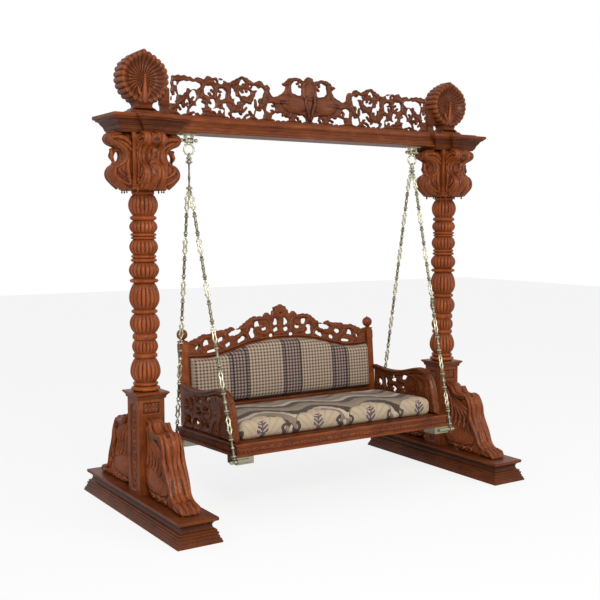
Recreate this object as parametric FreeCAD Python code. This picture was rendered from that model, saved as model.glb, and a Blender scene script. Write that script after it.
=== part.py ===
import FreeCAD, Part
import math
import os

# Carved teak jhoola: a stand with two turned columns and a crested beam, and a bench seat on four chains.
# Millimetres, +Z up, X along the beam, -Y to the front, floor at Z 0.

V = FreeCAD.Vector
ORIGIN = V(0, 0, 0)
X_AXIS = V(1, 0, 0)
Y_AXIS = V(0, 1, 0)
Z_AXIS = V(0, 0, 1)

# Stand
column_spacing = 1820.0
plinth_half_width = 108.0
plinth_half_length = 553.0
plinth_height = 110.0
plinth_lip_height = 14.0
plinth_top_inset = 12.5
plinth_neck_inset = 33.0
plinth_step = 5.0
pedestal_half = 64.5
pedestal_height = 447.0
panel_depth = 5.0
panel_margin = 22.0
pedestal_cap_half = 84.0
pedestal_cap_height = 31.0
pedestal_cap_lip = 9.0
column_height = 923.0
column_bulb_radius = 70.0
column_neck_radius = 47.0
column_reeds = 16
post_reeds = 12
small_reeds = 8
capital_half = 75.0
capital_height = 257.0
capital_shelf_half = 85.0
capital_shelf_height = 23.0
capital_shelf_lift = 4.0
cornice_half_long = 187.0
cornice_half_wide = 136.0
cornice_nose_half = 86.0
cornice_nose_reach = 164.0
cornice_height = 79.0
cornice_lip = 11.0
cornice_bottom_inset = 51.0
beam_half_width = 91.0
beam_height = 66.0
bracket_reach = 107.0
bracket_front_reach = 92.0
bracket_width = 128.0
overrun = 5.0

# Guardian lions beside the pedestals
lion_depth = 414.0
lion_height = 372.0
lion_half_width = 62.0

# Crest and finials on the beam
crest_rail_height = 20.0
crest_rail_half_depth = 18.0
crest_finial_gap = 3.0
crest_height = 208.0
crest_thickness = 22.0
peacock_width_share = 0.341
peacock_panel_gap = 0.275
crest_end_width = 50.0
crest_end_height = 54.0
finial_radius = 118.0
finial_thickness = 100.0
finial_boss_radius = 64.0
finial_boss_thickness = 132.0
finial_scallops = 15
finial_foot_half_width = 82.0
finial_foot_half_depth = 62.0
finial_foot_height = 33.0
finial_neck_half = 41.0
finial_neck_height = 18.0

# Hangers and chains
hanger_spread = 675.0
pin_drop = 30.0
pin_radius = 6.0
pin_half_length = 45.0
pin_ball_radius = 9.0
hinge_clearance = 0.05
side_clearance = 0.5
lug_plate_half_length = 42.0
lug_plate_half_depth = 25.0
lug_plate_thickness = 5.0
lug_thickness = 6.0
lug_radius = 14.0
shackle_eye_radius = 13.0
shackle_eye_half_length = 14.0
shackle_ring_radius = 25.0
shackle_drop = 42.0
shackle_wire = 4.0
shackle_neck_radius = 7.0
fitting_eye_wire = 3.0
fitting_eye_inner = 7.6
fitting_eye_sides = 6
seating_gap = 0.3
fitting_stem_radius = 5.0
fitting_bead_radius = 11.0
fork_half_span = 20.0
fork_thickness = 6.0
fork_rim = 10.0
left_fork_drop = 209.0
right_fork_drop = 89.0
left_chain_count = 6
right_chain_count = 7
chain_hole = 4.5
fork_hole = 6.0
fork_play = 0.8
chain_rim = 4.0
chain_plate = 5.0
chain_gap = 0.25
chain_rod_half_width = 4.0
chain_bead_half_width = 7.0
chain_ring_half_width = 12.5
chain_ring_slot_half = 6.5
chain_ring_share = 0.34
hook_clearance = 0.5

# Seat, in its own level frame; it hangs with its front edge a little raised
seat_tilt = 2.3
seat_tilt_level = 309.0
seat_half_width = 633.0
seat_front = -369.0
seat_back = 256.0
apron_bottom = 290.0
apron_height = 59.0
apron_thickness = 45.0
apron_lip = 10.0
apron_sink = 7.0
board_thickness = 18.0
block_side = 89.0
block_height = 33.0
stud_radius = 6.0
stud_length = 82.0
stud_grip = 43.0
stud_ball_radius = 9.0
stud_sleeve_radius = 9.0
stud_front_offset = 6.0
stud_back_inset = 21.0
hook_offset = 13.0
soft_clearance = 0.3
cushion_inset = 52.0
cushion_pad_gap = 12.0
cushion_thickness = 98.0
cushion_crown = 9.0
cushion_draw = 7.0
back_lean = 2.94
post_inset = 47.0
post_side = 41.0
post_height = 432.0
post_axis_inset = 20.0
post_ball_radius = 28.0
post_neck_radius = 12.0
post_neck_height = 8.0
lower_rail_lift = 51.0
lower_rail_height = 40.0
lower_rail_thickness = 30.0
back_board_thickness = 14.0
back_crest_thickness = 28.0
back_crest_peak = 264.0
back_crest_lift = 327.0
back_pad_side_gap = 5.5
back_pad_rail_gap = 7.0
back_pad_thickness = 52.0
back_pad_crown = 8.0
arm_inset = 28.0
arm_panel_thickness = 25.0
arm_rest_half_width = 23.0
arm_scroll_half_width = 22.0
arm_rest_under_half_width = 18.0
arm_rest_height = 11.0
arm_under_height = 16.0
arm_front_inset = 35.0
arm_height = 237.0

# Turned column from its foot up: kind, share of the column's height, share of the bulb's radius.
column_turning_shares = [
    ("ring", 0.028, 0.97), ("ring", 0.020, 0.84), ("vase", 0.119, 1.00), ("ring", 0.026, 0.81),
    ("bulb", 0.065, 0.86), ("ring", 0.035, 0.82), ("bulb", 0.098, 0.99), ("ring", 0.023, 0.86),
    ("vase", 0.130, 1.00), ("ring", 0.024, 0.95), ("bulb", 0.080, 0.99), ("ring", 0.020, 0.86),
    ("ring", 0.017, 0.83), ("bulb", 0.076, 0.94), ("ring", 0.015, 0.83), ("ring", 0.017, 0.86),
    ("bulb", 0.061, 0.92), ("ring", 0.026, 0.87), ("bulb", 0.102, 0.97), ("ring", 0.018, 0.74),
]

# Lion in side view: share of its depth out from the pedestal, share of its height.
lion_body_shares = [
    (0.0, 0.0), (0.72, 0.0), (0.75, 0.10), (0.71, 0.17), (0.65, 0.29), (0.57, 0.40), (0.53, 0.49),
    (0.57, 0.61), (0.545, 0.73), (0.49, 0.86), (0.45, 0.80), (0.37, 0.83), (0.24, 0.84), (0.23, 0.90),
    (0.17, 0.97), (0.05, 0.99), (0.0, 0.96),
]
lion_haunch_shares = [
    (0.10, 0.03), (0.50, 0.03), (0.58, 0.20), (0.52, 0.44), (0.38, 0.68), (0.20, 0.80), (0.08, 0.74),
    (0.05, 0.30),
]
lion_leg_shares = [
    (0.55, 0.0), (0.76, 0.0), (0.76, 0.10), (0.70, 0.20), (0.60, 0.38), (0.50, 0.60), (0.42, 0.72),
    (0.38, 0.60), (0.52, 0.30),
]
lion_paw_shares = [
    (0.60, 0.0), (1.0, 0.0), (1.0, 0.045), (0.94, 0.075), (0.87, 0.10), (0.76, 0.11), (0.62, 0.14),
]
lion_body_width_share = 0.62
lion_haunch_width_share = 1.0
lion_leg_width_share = 0.80
lion_paw_width_share = 0.92

# Bracket in side view: share of its reach from the capital, share of the capital's height.
bracket_shares = [
    (0.0, 0.03), (0.20, 0.03), (0.24, -0.04), (0.32, -0.04), (0.37, 0.02), (0.48, 0.08), (0.70, 0.12),
    (0.88, 0.20), (0.90, 0.32), (0.80, 0.42), (0.72, 0.50), (0.80, 0.60), (0.74, 0.69), (0.50, 0.72),
    (0.60, 0.79), (0.92, 0.80), (1.0, 0.87), (0.96, 0.95), (0.84, 0.97), (0.55, 1.0), (0.0, 1.0),
]
bracket_hole_shares = [
    (0.28, 0.46), (0.50, 0.44), (0.60, 0.52), (0.58, 0.62), (0.40, 0.66), (0.26, 0.58),
]

# Left crest panel: share of the crest's half length, share of its height.
crest_outline_shares = [
    (-1.0, 0.0), (-1.0, 0.22), (-0.985, 0.25), (-0.985, 0.80), (-0.975, 0.86), (-0.905, 0.88),
    (-0.86, 0.855), (-0.835, 0.81), (-0.81, 0.86), (-0.77, 0.81), (-0.74, 0.92), (-0.705, 0.875),
    (-0.66, 0.90), (-0.61, 0.81), (-0.58, 0.81), (-0.54, 0.91), (-0.495, 1.0), (-0.45, 0.90),
    (-0.405, 0.845), (-0.365, 0.92), (-0.341, 0.82), (-0.341, 0.0),
]
crest_hole_shares = [
    [(-0.97, 0.31), (-0.953, 0.32), (-0.948, 0.47), (-0.967, 0.48)],
    [(-0.93, 0.50), (-0.88, 0.43), (-0.865, 0.58), (-0.80, 0.605), (-0.81, 0.715), (-0.92, 0.715)],
    [(-0.854, 0.365), (-0.82, 0.43), (-0.83, 0.56), (-0.86, 0.52)],
    [(-0.94, 0.06), (-0.89, 0.06), (-0.87, 0.21), (-0.92, 0.28)],
    [(-0.857, 0.06), (-0.79, 0.06), (-0.783, 0.19), (-0.836, 0.21)],
    [(-0.813, 0.255), (-0.771, 0.21), (-0.76, 0.34), (-0.79, 0.395)],
    [(-0.76, 0.54), (-0.707, 0.50), (-0.70, 0.67), (-0.742, 0.70)],
    [(-0.73, 0.235), (-0.695, 0.21), (-0.69, 0.365), (-0.72, 0.395)],
    [(-0.71, 0.10), (-0.655, 0.09), (-0.655, 0.175), (-0.695, 0.185)],
    [(-0.672, 0.475), (-0.625, 0.45), (-0.613, 0.61), (-0.66, 0.66)],
    [(-0.638, 0.255), (-0.622, 0.235), (-0.618, 0.36), (-0.636, 0.385)],
    [(-0.613, 0.06), (-0.58, 0.06), (-0.592, 0.255), (-0.605, 0.235)],
    [(-0.578, 0.52), (-0.562, 0.535), (-0.55, 0.735), (-0.57, 0.745)],
    [(-0.554, 0.365), (-0.52, 0.345), (-0.525, 0.51), (-0.545, 0.55)],
    [(-0.519, 0.80), (-0.478, 0.80), (-0.498, 0.90)],
    [(-0.505, 0.60), (-0.454, 0.57), (-0.45, 0.665), (-0.50, 0.68)],
    [(-0.49, 0.20), (-0.42, 0.185), (-0.413, 0.32), (-0.478, 0.365)],
    [(-0.44, 0.73), (-0.41, 0.72), (-0.41, 0.785), (-0.44, 0.79)],
    [(-0.42, 0.43), (-0.385, 0.385), (-0.355, 0.67), (-0.37, 0.73), (-0.395, 0.60)],
    [(-0.555, 0.06), (-0.46, 0.05), (-0.455, 0.115), (-0.55, 0.14)],
    [(-0.40, 0.10), (-0.355, 0.08), (-0.355, 0.26), (-0.39, 0.28)],
]

# Two facing peacocks: right half, share of the panel's half width, share of the crest's height.
peacock_outline_shares = [
    (1.0, 0.0), (1.0, 0.82), (0.93, 0.84), (0.87, 0.755), (0.89, 0.65), (0.83, 0.58), (0.765, 0.56),
    (0.66, 0.63), (0.54, 0.72), (0.515, 0.845), (0.615, 0.92), (0.525, 0.965), (0.40, 1.05),
    (0.265, 1.07), (0.145, 1.02), (0.10, 1.0), (0.07, 1.09), (0.0, 1.115),
]
peacock_hole_shares = [
    [(0.40, 0.715), (0.185, 0.67), (0.17, 0.92), (0.28, 0.98), (0.39, 0.92)],
    [(0.305, 0.06), (0.075, 0.06), (0.11, 0.17), (0.265, 0.185)],
    [(0.83, 0.06), (0.455, 0.06), (0.49, 0.16), (0.80, 0.185)],
    [(0.95, 0.23), (0.745, 0.255), (0.765, 0.395), (0.93, 0.41)],
]

# Carved crest of the seat's back, right half: share of half the gap between posts, share of its peak.
back_crest_top_shares = [
    (1.0, 0.38), (0.965, 0.38), (0.905, 0.42), (0.85, 0.48), (0.805, 0.50), (0.76, 0.49), (0.71, 0.54),
    (0.58, 0.565), (0.53, 0.605), (0.48, 0.55), (0.43, 0.605), (0.385, 0.675), (0.345, 0.74),
    (0.265, 0.785), (0.185, 0.77), (0.16, 0.855), (0.115, 0.80), (0.095, 0.81), (0.088, 0.88),
    (0.064, 0.95), (0.0, 1.0),
]
back_pad_top_shares = [(0.0, 0.32), (0.16, 0.315), (0.38, 0.25), (0.59, 0.12), (0.775, 0.04), (1.0, 0.055)]
back_crest_hole_shares = [
    [(0.035, 0.60), (0.10, 0.62), (0.06, 0.72)],
    [(0.035, 0.46), (0.10, 0.45), (0.09, 0.53), (0.04, 0.53)],
    [(0.175, 0.46), (0.235, 0.46), (0.225, 0.53), (0.18, 0.52)],
    [(0.26, 0.56), (0.31, 0.58), (0.30, 0.66), (0.255, 0.64)],
    [(0.31, 0.38), (0.37, 0.40), (0.36, 0.53), (0.325, 0.50)],
    [(0.44, 0.27), (0.50, 0.22), (0.51, 0.28), (0.46, 0.33)],
    [(0.48, 0.40), (0.60, 0.42), (0.58, 0.49), (0.49, 0.47)],
    [(0.61, 0.22), (0.66, 0.17), (0.67, 0.25), (0.62, 0.29)],
    [(0.77, 0.14), (0.86, 0.14), (0.85, 0.19), (0.78, 0.19)],
    [(0.86, 0.30), (0.92, 0.26), (0.91, 0.35), (0.87, 0.38)],
]

# Arm in side view: share of its length forward of the back, share of its height over the seat frame.
arm_top_shares = [
    (0.0, 0.937), (0.24, 0.855), (0.40, 0.86), (0.55, 0.92), (0.70, 1.0), (0.79, 0.98), (0.86, 0.90),
]
arm_front_shares = [(0.91, 0.80), (0.95, 0.56), (0.965, 0.31), (0.99, 0.08), (0.99, 0.0)]
arm_hole_shares = [
    [(0.10, 0.10), (0.21, 0.08), (0.19, 0.26), (0.10, 0.32)],
    [(0.09, 0.44), (0.15, 0.40), (0.17, 0.56), (0.10, 0.64)],
    [(0.20, 0.38), (0.25, 0.44), (0.24, 0.64), (0.19, 0.68)],
    [(0.26, 0.10), (0.36, 0.10), (0.33, 0.26), (0.26, 0.24)],
    [(0.31, 0.36), (0.40, 0.32), (0.38, 0.46), (0.31, 0.50)],
    [(0.29, 0.60), (0.38, 0.58), (0.38, 0.72), (0.31, 0.72)],
    [(0.42, 0.14), (0.52, 0.10), (0.50, 0.28), (0.43, 0.30)],
    [(0.45, 0.42), (0.53, 0.38), (0.54, 0.52), (0.46, 0.56)],
    [(0.45, 0.66), (0.55, 0.64), (0.56, 0.76), (0.48, 0.78)],
]

# Scrolled front of the arm: share of the arm's length forward of the back, share of its height.
arm_scroll_shares = [
    (0.70, 0.0), (0.66, 0.16), (0.70, 0.34), (0.76, 0.48), (0.77, 0.62), (0.71, 0.76), (0.70, 0.82),
]

# Levels and places that follow from the sizes above
pedestal_level = plinth_height
pedestal_top = pedestal_level + pedestal_height
column_level = pedestal_top + pedestal_cap_height
capital_level = column_level + column_height
cornice_level = capital_level + capital_height
beam_top = cornice_level + cornice_height
beam_level = beam_top - beam_height
crest_level = beam_top + crest_rail_height
crest_half_length = column_spacing / 2.0 - finial_foot_half_width - crest_finial_gap - crest_end_width
peacock_half_width = peacock_width_share * crest_half_length - peacock_panel_gap
pin_level = beam_level - pin_drop
ring_level = pin_level - shackle_drop
fork_levels = {"left": ring_level - left_fork_drop, "right": ring_level - right_fork_drop}
chain_counts = {"left": left_chain_count, "right": right_chain_count}
apron_top = apron_bottom + apron_height
seat_middle = (seat_front + seat_back) / 2.0
seat_half_depth = (seat_back - seat_front) / 2.0
post_axis = seat_back - post_axis_inset
post_reach = seat_half_width - post_inset
back_half_gap = post_reach - post_side / 2.0
back_crest_base = apron_top + back_crest_lift
back_pad_half_width = back_half_gap - back_pad_side_gap
lower_rail_bottom = apron_top + lower_rail_lift
lower_rail_top = lower_rail_bottom + lower_rail_height
back_pad_bottom = lower_rail_top + back_pad_rail_gap
back_pad_back = post_axis - back_crest_thickness / 2.0 - soft_clearance
cushion_half_width = seat_half_width - cushion_inset
cushion_front = seat_front + cushion_inset
cushion_back = back_pad_back + soft_clearance - back_pad_thickness - cushion_pad_gap
arm_axis = seat_half_width - arm_inset
arm_length = post_axis - seat_front - arm_front_inset
stud_level = apron_bottom - block_height / 2.0
stud_root = seat_half_width - stud_grip
hook_place = seat_half_width + hook_offset


def place(plane, pair, offset=0.0):
    """A point of a flat outline, set in space."""
    a, b = pair
    if plane == "xz":
        return V(a, offset, b)
    if plane == "yz":
        return V(offset, a, b)
    return V(a, b, offset)


def wire(points, plane, offset=0.0):
    """A closed wire; an entry that holds two points is an arc through the first to the second."""
    start = points[0]
    edges = []
    for item in list(points[1:]) + [points[0]]:
        if isinstance(item[0], tuple):
            middle, end = item
            arc = Part.Arc(place(plane, start, offset), place(plane, middle, offset),
                           place(plane, end, offset))
            edges.append(arc.toShape())
        elif item != start:
            end = item
            edges.append(Part.makeLine(place(plane, start, offset), place(plane, end, offset)))
        start = end
    return Part.Wire(edges)


def slab(points, plane, start, thickness, holes=()):
    """A flat board with an outline and through holes, from start along the plane's normal."""
    normal = {"xz": Y_AXIS, "yz": X_AXIS, "xy": Z_AXIS}[plane]
    board = Part.Face(wire(points, plane, start)).extrude(normal * thickness)
    cutters = [Part.Face(wire(hole, plane, start)).extrude(normal * thickness) for hole in holes]
    if not cutters:
        return board
    return board.cut(cutters).Solids[0]


def box(x0, x1, y0, y1, z0, z1):
    return Part.makeBox(x1 - x0, y1 - y0, z1 - z0, V(x0, y0, z0))


def both_sides(half):
    """Close a right-hand outline, listed upwards, with its mirror image."""
    ends = [item[-1] if isinstance(item[0], tuple) else item for item in half]
    back = [(-ends[-1][0], ends[-1][1])]
    for index in range(len(half) - 1, 0, -1):
        item = half[index]
        end = (-ends[index - 1][0], ends[index - 1][1])
        if isinstance(item[0], tuple):
            back.append(((-item[0][0], item[0][1]), end))
        else:
            back.append(end)
    return list(half) + back


def moulded_block(half_x, half_y, profile):
    """A rectangular block whose moulding runs round all four sides with mitred corners."""
    def section(half):
        points = []
        for item in profile:
            if isinstance(item[0], tuple):
                points.append(tuple((half - inset, level) for inset, level in item))
            else:
                points.append((half - item[0], item[1]))
        return both_sides(points)
    along_y = slab(section(half_x), "xz", -half_y, 2 * half_y)
    along_x = slab(section(half_y), "yz", -half_x, 2 * half_x)
    return along_y.common(along_x)


def turned(profile, x=0.0, y=0.0, reeds=small_reeds):
    """A reeded turning on a vertical axis from radius and level pairs, listed upwards."""
    sections = []
    for radius, level in profile:
        spots = []
        for index in range(reeds):
            turn = 2 * math.pi * (index + 0.5) / reeds
            spots.append(V(x + radius * math.cos(turn), y + radius * math.sin(turn), level))
        sections.append(Part.makePolygon(spots + spots[:1]))
    flats = []
    for side in Part.makeLoft(sections, True, True).Faces:
        corners = [vertex.Point for vertex in side.OuterWire.OrderedVertexes]
        flats.append(Part.Face(Part.makePolygon(corners + corners[:1])))
    shell = Part.Shell(flats)
    shell.sewShape()
    return Part.Solid(shell)


def bulge(level, height, end_radius, middle_radius, steps=3, peak_share=0.5):
    """Stations of a swelling, on a sine curve that peaks at a share of the height."""
    stations = []
    for index in range(steps + 1):
        share = index / steps
        turn = share / peak_share if share < peak_share else (2 - (1 - share) / (1 - peak_share))
        swell = math.sin(math.pi * turn / 2)
        stations.append((end_radius + (middle_radius - end_radius) * swell, level + height * share))
    return stations


def ball(radius, centre, steps=6):
    """A reeded ball on a vertical axis, as rings on a half circle."""
    points = []
    for index in range(1, steps):
        turn = math.pi * index / steps
        points.append((radius * math.sin(turn), centre.z - radius * math.cos(turn)))
    return turned(points, centre.x, centre.y, post_reeds)


def rod_along_x(radius, x0, x1, y, z):
    return Part.makeCylinder(radius, abs(x1 - x0), V(min(x0, x1), y, z), X_AXIS)


def fused(shapes):
    solid = shapes[0]
    for other in shapes[1:]:
        solid = solid.fuse(other)
    return solid.removeSplitter()


def scaled(shares, width, height, x=0.0, z=0.0):
    return [(x + a * width, z + b * height) for a, b in shares]


def mirrored(shape):
    """The same piece on the other side of the middle plane."""
    return shape.mirror(ORIGIN, X_AXIS)


def moved(shape, x=0.0, y=0.0, z=0.0):
    copy = shape.copy()
    copy.translate(V(x, y, z))
    return copy


def hung(shape):
    """Turn a seat piece from the seat's level frame to the way that it hangs."""
    copy = shape.copy()
    copy.rotate(V(0, 0, seat_tilt_level), X_AXIS, -seat_tilt)
    return copy


def leaning(shape):
    """Lean a piece of the back about the foot of its posts."""
    copy = shape.copy()
    copy.rotate(V(0, post_axis, apron_top), X_AXIS, -back_lean)
    return copy


def write(node, solids):
    """Write one node, made of one solid or of a group."""
    group = solids if isinstance(solids, list) else [solids]
    shape = group[0] if len(group) == 1 else Part.makeCompound(group)
    shape.exportStep("parts/" + node + ".step")
    volume = sum(solid.Volume for solid in group)
    print(node, len(group), all(solid.isValid() for solid in group), round(volume / 1000.0, 1))


def plinth():
    lip = plinth_height - plinth_lip_height
    step = plinth_step
    neck_low = plinth_height * 0.52
    neck_high = plinth_height * 0.80
    foot_high = plinth_height * 0.12
    ogee_high = plinth_height * 0.32
    profile = [
        (0.0, 0.0), (0.0, foot_high), ((step, ogee_high - step), (2 * step, ogee_high)),
        (3 * step, ogee_high), (3 * step, ogee_high + step), (4 * step, ogee_high + 2 * step),
        (4 * step, neck_low - step), (plinth_neck_inset, neck_low), (plinth_neck_inset, neck_high),
        (plinth_top_inset + step, lip), (plinth_top_inset, lip), (plinth_top_inset, plinth_height),
    ]
    return moulded_block(plinth_half_width, plinth_half_length, profile)


def pedestal():
    block = box(-pedestal_half, pedestal_half, -pedestal_half, pedestal_half, pedestal_level, pedestal_top)
    panel_half = pedestal_half - panel_margin
    low = pedestal_level + panel_margin
    high = pedestal_top - panel_margin
    spring = high - panel_half
    arch = [(-panel_half, low), (panel_half, low), (panel_half, spring), ((0.0, high), (-panel_half, spring))]
    for start in (-pedestal_half - overrun, pedestal_half - panel_depth):
        block = block.cut(slab(arch, "yz", start, panel_depth + overrun))
    return block


def pedestal_cap():
    inset = pedestal_cap_half - pedestal_half
    lip_low = column_level - pedestal_cap_lip
    profile = [
        (inset - panel_depth, pedestal_top),
        ((inset * 0.45, pedestal_top + pedestal_cap_height * 0.30), (panel_depth, lip_low)),
        (0.0, lip_low), (0.0, column_level),
    ]
    return moulded_block(pedestal_cap_half, pedestal_cap_half, profile)


def column():
    """Stacked reeded bulbs, vases and rings on one turned shaft."""
    profile = [(column_neck_radius, column_level)]
    level = column_level
    for kind, height_share, radius_share in column_turning_shares:
        height = height_share * column_height
        radius = radius_share * column_bulb_radius
        if kind == "ring":
            profile += [(radius, level + height / 2), (column_neck_radius, level + height)]
        elif kind == "bulb":
            profile += bulge(level, height, column_neck_radius, radius)[1:]
        else:
            profile += bulge(level, height, column_neck_radius, radius, peak_share=0.42)[1:]
        level += height
    profile[-1] = (column_neck_radius, capital_level)
    return turned(profile, reeds=column_reeds)


def capital():
    core = box(-capital_half, capital_half, -capital_half, capital_half, capital_level, cornice_level)
    low = capital_level + capital_shelf_lift
    high = low + capital_shelf_height
    ease = capital_shelf_lift
    half = capital_shelf_half
    shelf = moulded_block(half, half, [(ease, low), (0.0, low + ease), (0.0, high - ease), (ease, high)])
    return fused([core, shelf])


def bracket(reach):
    """One scrolled bracket with a pierced bird form, pointing along +X from the capital."""
    outline = scaled(bracket_shares, reach, capital_height, capital_half, capital_level)
    hole = scaled(bracket_hole_shares, reach, capital_height, capital_half, capital_level)
    board = slab(outline, "xz", -bracket_width / 2, bracket_width, [hole])
    return board.cut(capital())


def brackets():
    side = bracket(bracket_reach)
    front = bracket(bracket_front_reach)
    front.rotate(ORIGIN, Z_AXIS, 90)
    half_turn = [moved(side), moved(front)]
    for piece in half_turn:
        piece.rotate(ORIGIN, Z_AXIS, 180)
    return [side, front] + half_turn


def cornice():
    """A cruciform moulded block on the capital, below the finial."""
    rise = cornice_bottom_inset / 4.0
    profile = [
        (cornice_bottom_inset, cornice_level), (cornice_bottom_inset, cornice_level + rise),
        (cornice_bottom_inset - rise, cornice_level + 2 * rise),
        (cornice_bottom_inset * 0.6, beam_top - 3 * cornice_lip),
        (cornice_bottom_inset * 0.45, beam_top - 1.8 * cornice_lip), (panel_depth, beam_top - 1.2 * cornice_lip),
        (0.0, beam_top - cornice_lip), (0.0, beam_top),
    ]
    arms = moulded_block(cornice_half_long, cornice_half_wide, profile)
    noses = moulded_block(cornice_nose_half, cornice_nose_reach, profile)
    return fused([arms, noses])


def beam(left_cornice, right_cornice):
    """The cross beam, scribed at both ends to the cornices' mouldings."""
    step = beam_height * 0.08
    half = beam_half_width
    section = both_sides([
        (half - 2 * step, beam_level), (half - step, beam_level + step),
        (half - step, beam_top - 3 * cornice_lip), (half - 2 * step, beam_top - 2.6 * cornice_lip),
        (half - 2 * step, beam_top - 1.8 * cornice_lip), (half, beam_top - cornice_lip), (half, beam_top),
    ])
    end = column_spacing / 2 - cornice_half_long + cornice_bottom_inset
    bar = slab(section, "yz", -end, 2 * end)
    return bar.cut(left_cornice).cut(right_cornice)


def lion():
    """One guardian lion: flanks, haunches, forelegs and a paw, facing -Y from the pedestal."""
    parts = []
    forms = [(lion_body_shares, lion_body_width_share), (lion_haunch_shares, lion_haunch_width_share),
             (lion_leg_shares, lion_leg_width_share), (lion_paw_shares, lion_paw_width_share)]
    for table, width_share in forms:
        half = lion_half_width * width_share
        outline = [(-pedestal_half - a * lion_depth, pedestal_level + b * lion_height) for a, b in table]
        parts.append(slab(outline, "yz", -half, 2 * half))
    return fused(parts)


def finial():
    """A fan of feathers with a scalloped rim, on a square moulded foot."""
    foot_top = beam_top + finial_foot_height
    step = finial_foot_height / 4.0
    foot = moulded_block(finial_foot_half_width, finial_foot_half_depth, [
        (0.0, beam_top), (0.0, beam_top + step), (step, beam_top + 2 * step), (3 * step, foot_top)])
    centre = foot_top + finial_neck_height + finial_radius
    neck = box(-finial_neck_half, finial_neck_half, -finial_neck_half, finial_neck_half,
               foot_top, foot_top + 2 * finial_neck_height)
    turn = 2 * math.pi / finial_scallops
    cusp = finial_radius * 0.93
    def rim(radius, angle):
        return (radius * math.sin(angle), centre + radius * math.cos(angle))
    points = [rim(cusp, -turn / 2)]
    for index in range(finial_scallops):
        points += [rim(finial_radius, (index - 0.2) * turn), rim(finial_radius, (index + 0.2) * turn),
                   rim(cusp, (index + 0.5) * turn)]
    points = points[:-1]
    fan = slab(points, "xz", -finial_thickness / 2, finial_thickness)
    boss = Part.makeCylinder(finial_boss_radius, finial_boss_thickness,
                             V(0, -finial_boss_thickness / 2, centre), Y_AXIS)
    return fused([foot, neck, fan, boss])


def crest_side():
    """Left crest panel of pierced leaf scrolls, with its end scroll."""
    outline = scaled(crest_outline_shares, crest_half_length, crest_height, 0.0, crest_level)
    holes = [scaled(hole, crest_half_length, crest_height, 0.0, crest_level) for hole in crest_hole_shares]
    board = slab(outline, "xz", -crest_thickness / 2, crest_thickness, holes)
    end = box(-crest_half_length - crest_end_width, -crest_half_length, -crest_rail_half_depth,
              crest_rail_half_depth, crest_level, crest_level + crest_end_height)
    return fused([board, end])


def peacock_panel():
    """Middle crest panel: two facing peacocks."""
    half = scaled(peacock_outline_shares, peacock_half_width, crest_height, 0.0, crest_level)
    holes = []
    for hole in peacock_hole_shares:
        right = scaled(hole, peacock_half_width, crest_height, 0.0, crest_level)
        holes.append(right)
        holes.append([(-x, z) for x, z in right])
    return slab(both_sides(half), "xz", -crest_thickness / 2, crest_thickness, holes)


def crest_rail():
    end = crest_half_length + crest_end_width
    half = crest_rail_half_depth
    step = crest_rail_height / 4.0
    section = both_sides([(half, beam_top), (half, crest_level - 2 * step), (half - step, crest_level - step),
                          (half - step, crest_level)])
    return slab(section, "yz", -end, 2 * end)


def lug():
    """Plate under the beam with two cheeks that hold the cross pin."""
    x = -hanger_spread
    top = beam_level
    plate = box(x - lug_plate_half_length, x + lug_plate_half_length, -lug_plate_half_depth,
                lug_plate_half_depth, top - lug_plate_thickness, top)
    shapes = [plate]
    inner = shackle_eye_half_length + side_clearance
    cheek = [(-lug_radius, top - lug_plate_thickness / 2), (-lug_radius, pin_level),
             ((0.0, pin_level - lug_radius), (lug_radius, pin_level)),
             (lug_radius, top - lug_plate_thickness / 2)]
    for start in (x - inner - lug_thickness, x + inner):
        shapes.append(slab(cheek, "yz", start, lug_thickness))
    bore = rod_along_x(pin_radius + hinge_clearance, x - lug_plate_half_length, x + lug_plate_half_length,
                       0.0, pin_level)
    return fused(shapes).cut(bore)


def lug_screws():
    """Four screw heads under each plate."""
    heads = []
    radius = lug_plate_thickness
    x_place = lug_plate_half_length - 1.8 * radius
    y_place = lug_plate_half_depth - 1.6 * radius
    low = beam_level - lug_plate_thickness - radius / 2
    for side in (-1, 1):
        for dx in (-x_place, x_place):
            for dy in (-y_place, y_place):
                profile = [(radius * 0.6, low), (radius, low + radius / 2)]
                heads.append(turned(profile, side * hanger_spread + dx, dy))
    return heads


def cross_pin():
    """Pin along X through the cheeks and the shackle, with a ball at each end."""
    half = pin_half_length - pin_ball_radius
    knob = [(pin_radius, half - pin_ball_radius), (pin_ball_radius, half),
            (pin_ball_radius * 0.5, pin_half_length)]
    head = turned(knob)
    tail = head.mirror(ORIGIN, Z_AXIS)
    bar = Part.makeCylinder(pin_radius, 2 * half, V(0, 0, -half))
    pin = fused([bar, head, tail])
    pin.rotate(ORIGIN, Y_AXIS, 90)
    return moved(pin, -hanger_spread, 0.0, pin_level)


def ring(radius, half_wire, plane, centre, sides):
    """A flat-sided ring in a plane, with its flats square to the axes."""
    wires = []
    for flat in (radius + half_wire, radius - half_wire):
        corner = flat / math.cos(math.pi / sides)
        points = []
        for index in range(sides):
            turn = 2 * math.pi * (index + 0.5) / sides
            points.append((corner * math.sin(turn), corner * math.cos(turn)))
        wires.append(points)
    shape = slab(wires[0], plane, -half_wire, 2 * half_wire, [wires[1]])
    shape.translate(centre)
    return shape


def shackle():
    """Eye on the cross pin with a ring below it."""
    x = -hanger_spread
    eye = rod_along_x(shackle_eye_radius, x - shackle_eye_half_length, x + shackle_eye_half_length,
                      0.0, pin_level)
    loop = ring(shackle_ring_radius, shackle_wire, "xz", V(x, 0, ring_level), 2 * small_reeds)
    neck_low = ring_level + shackle_ring_radius
    neck = Part.makeCylinder(shackle_neck_radius, pin_level - neck_low, V(x, 0, neck_low))
    bore = rod_along_x(pin_radius + hinge_clearance, x - 2 * shackle_eye_half_length,
                       x + 2 * shackle_eye_half_length, 0.0, pin_level)
    return fused([eye, neck, loop]).cut(bore)


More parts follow.
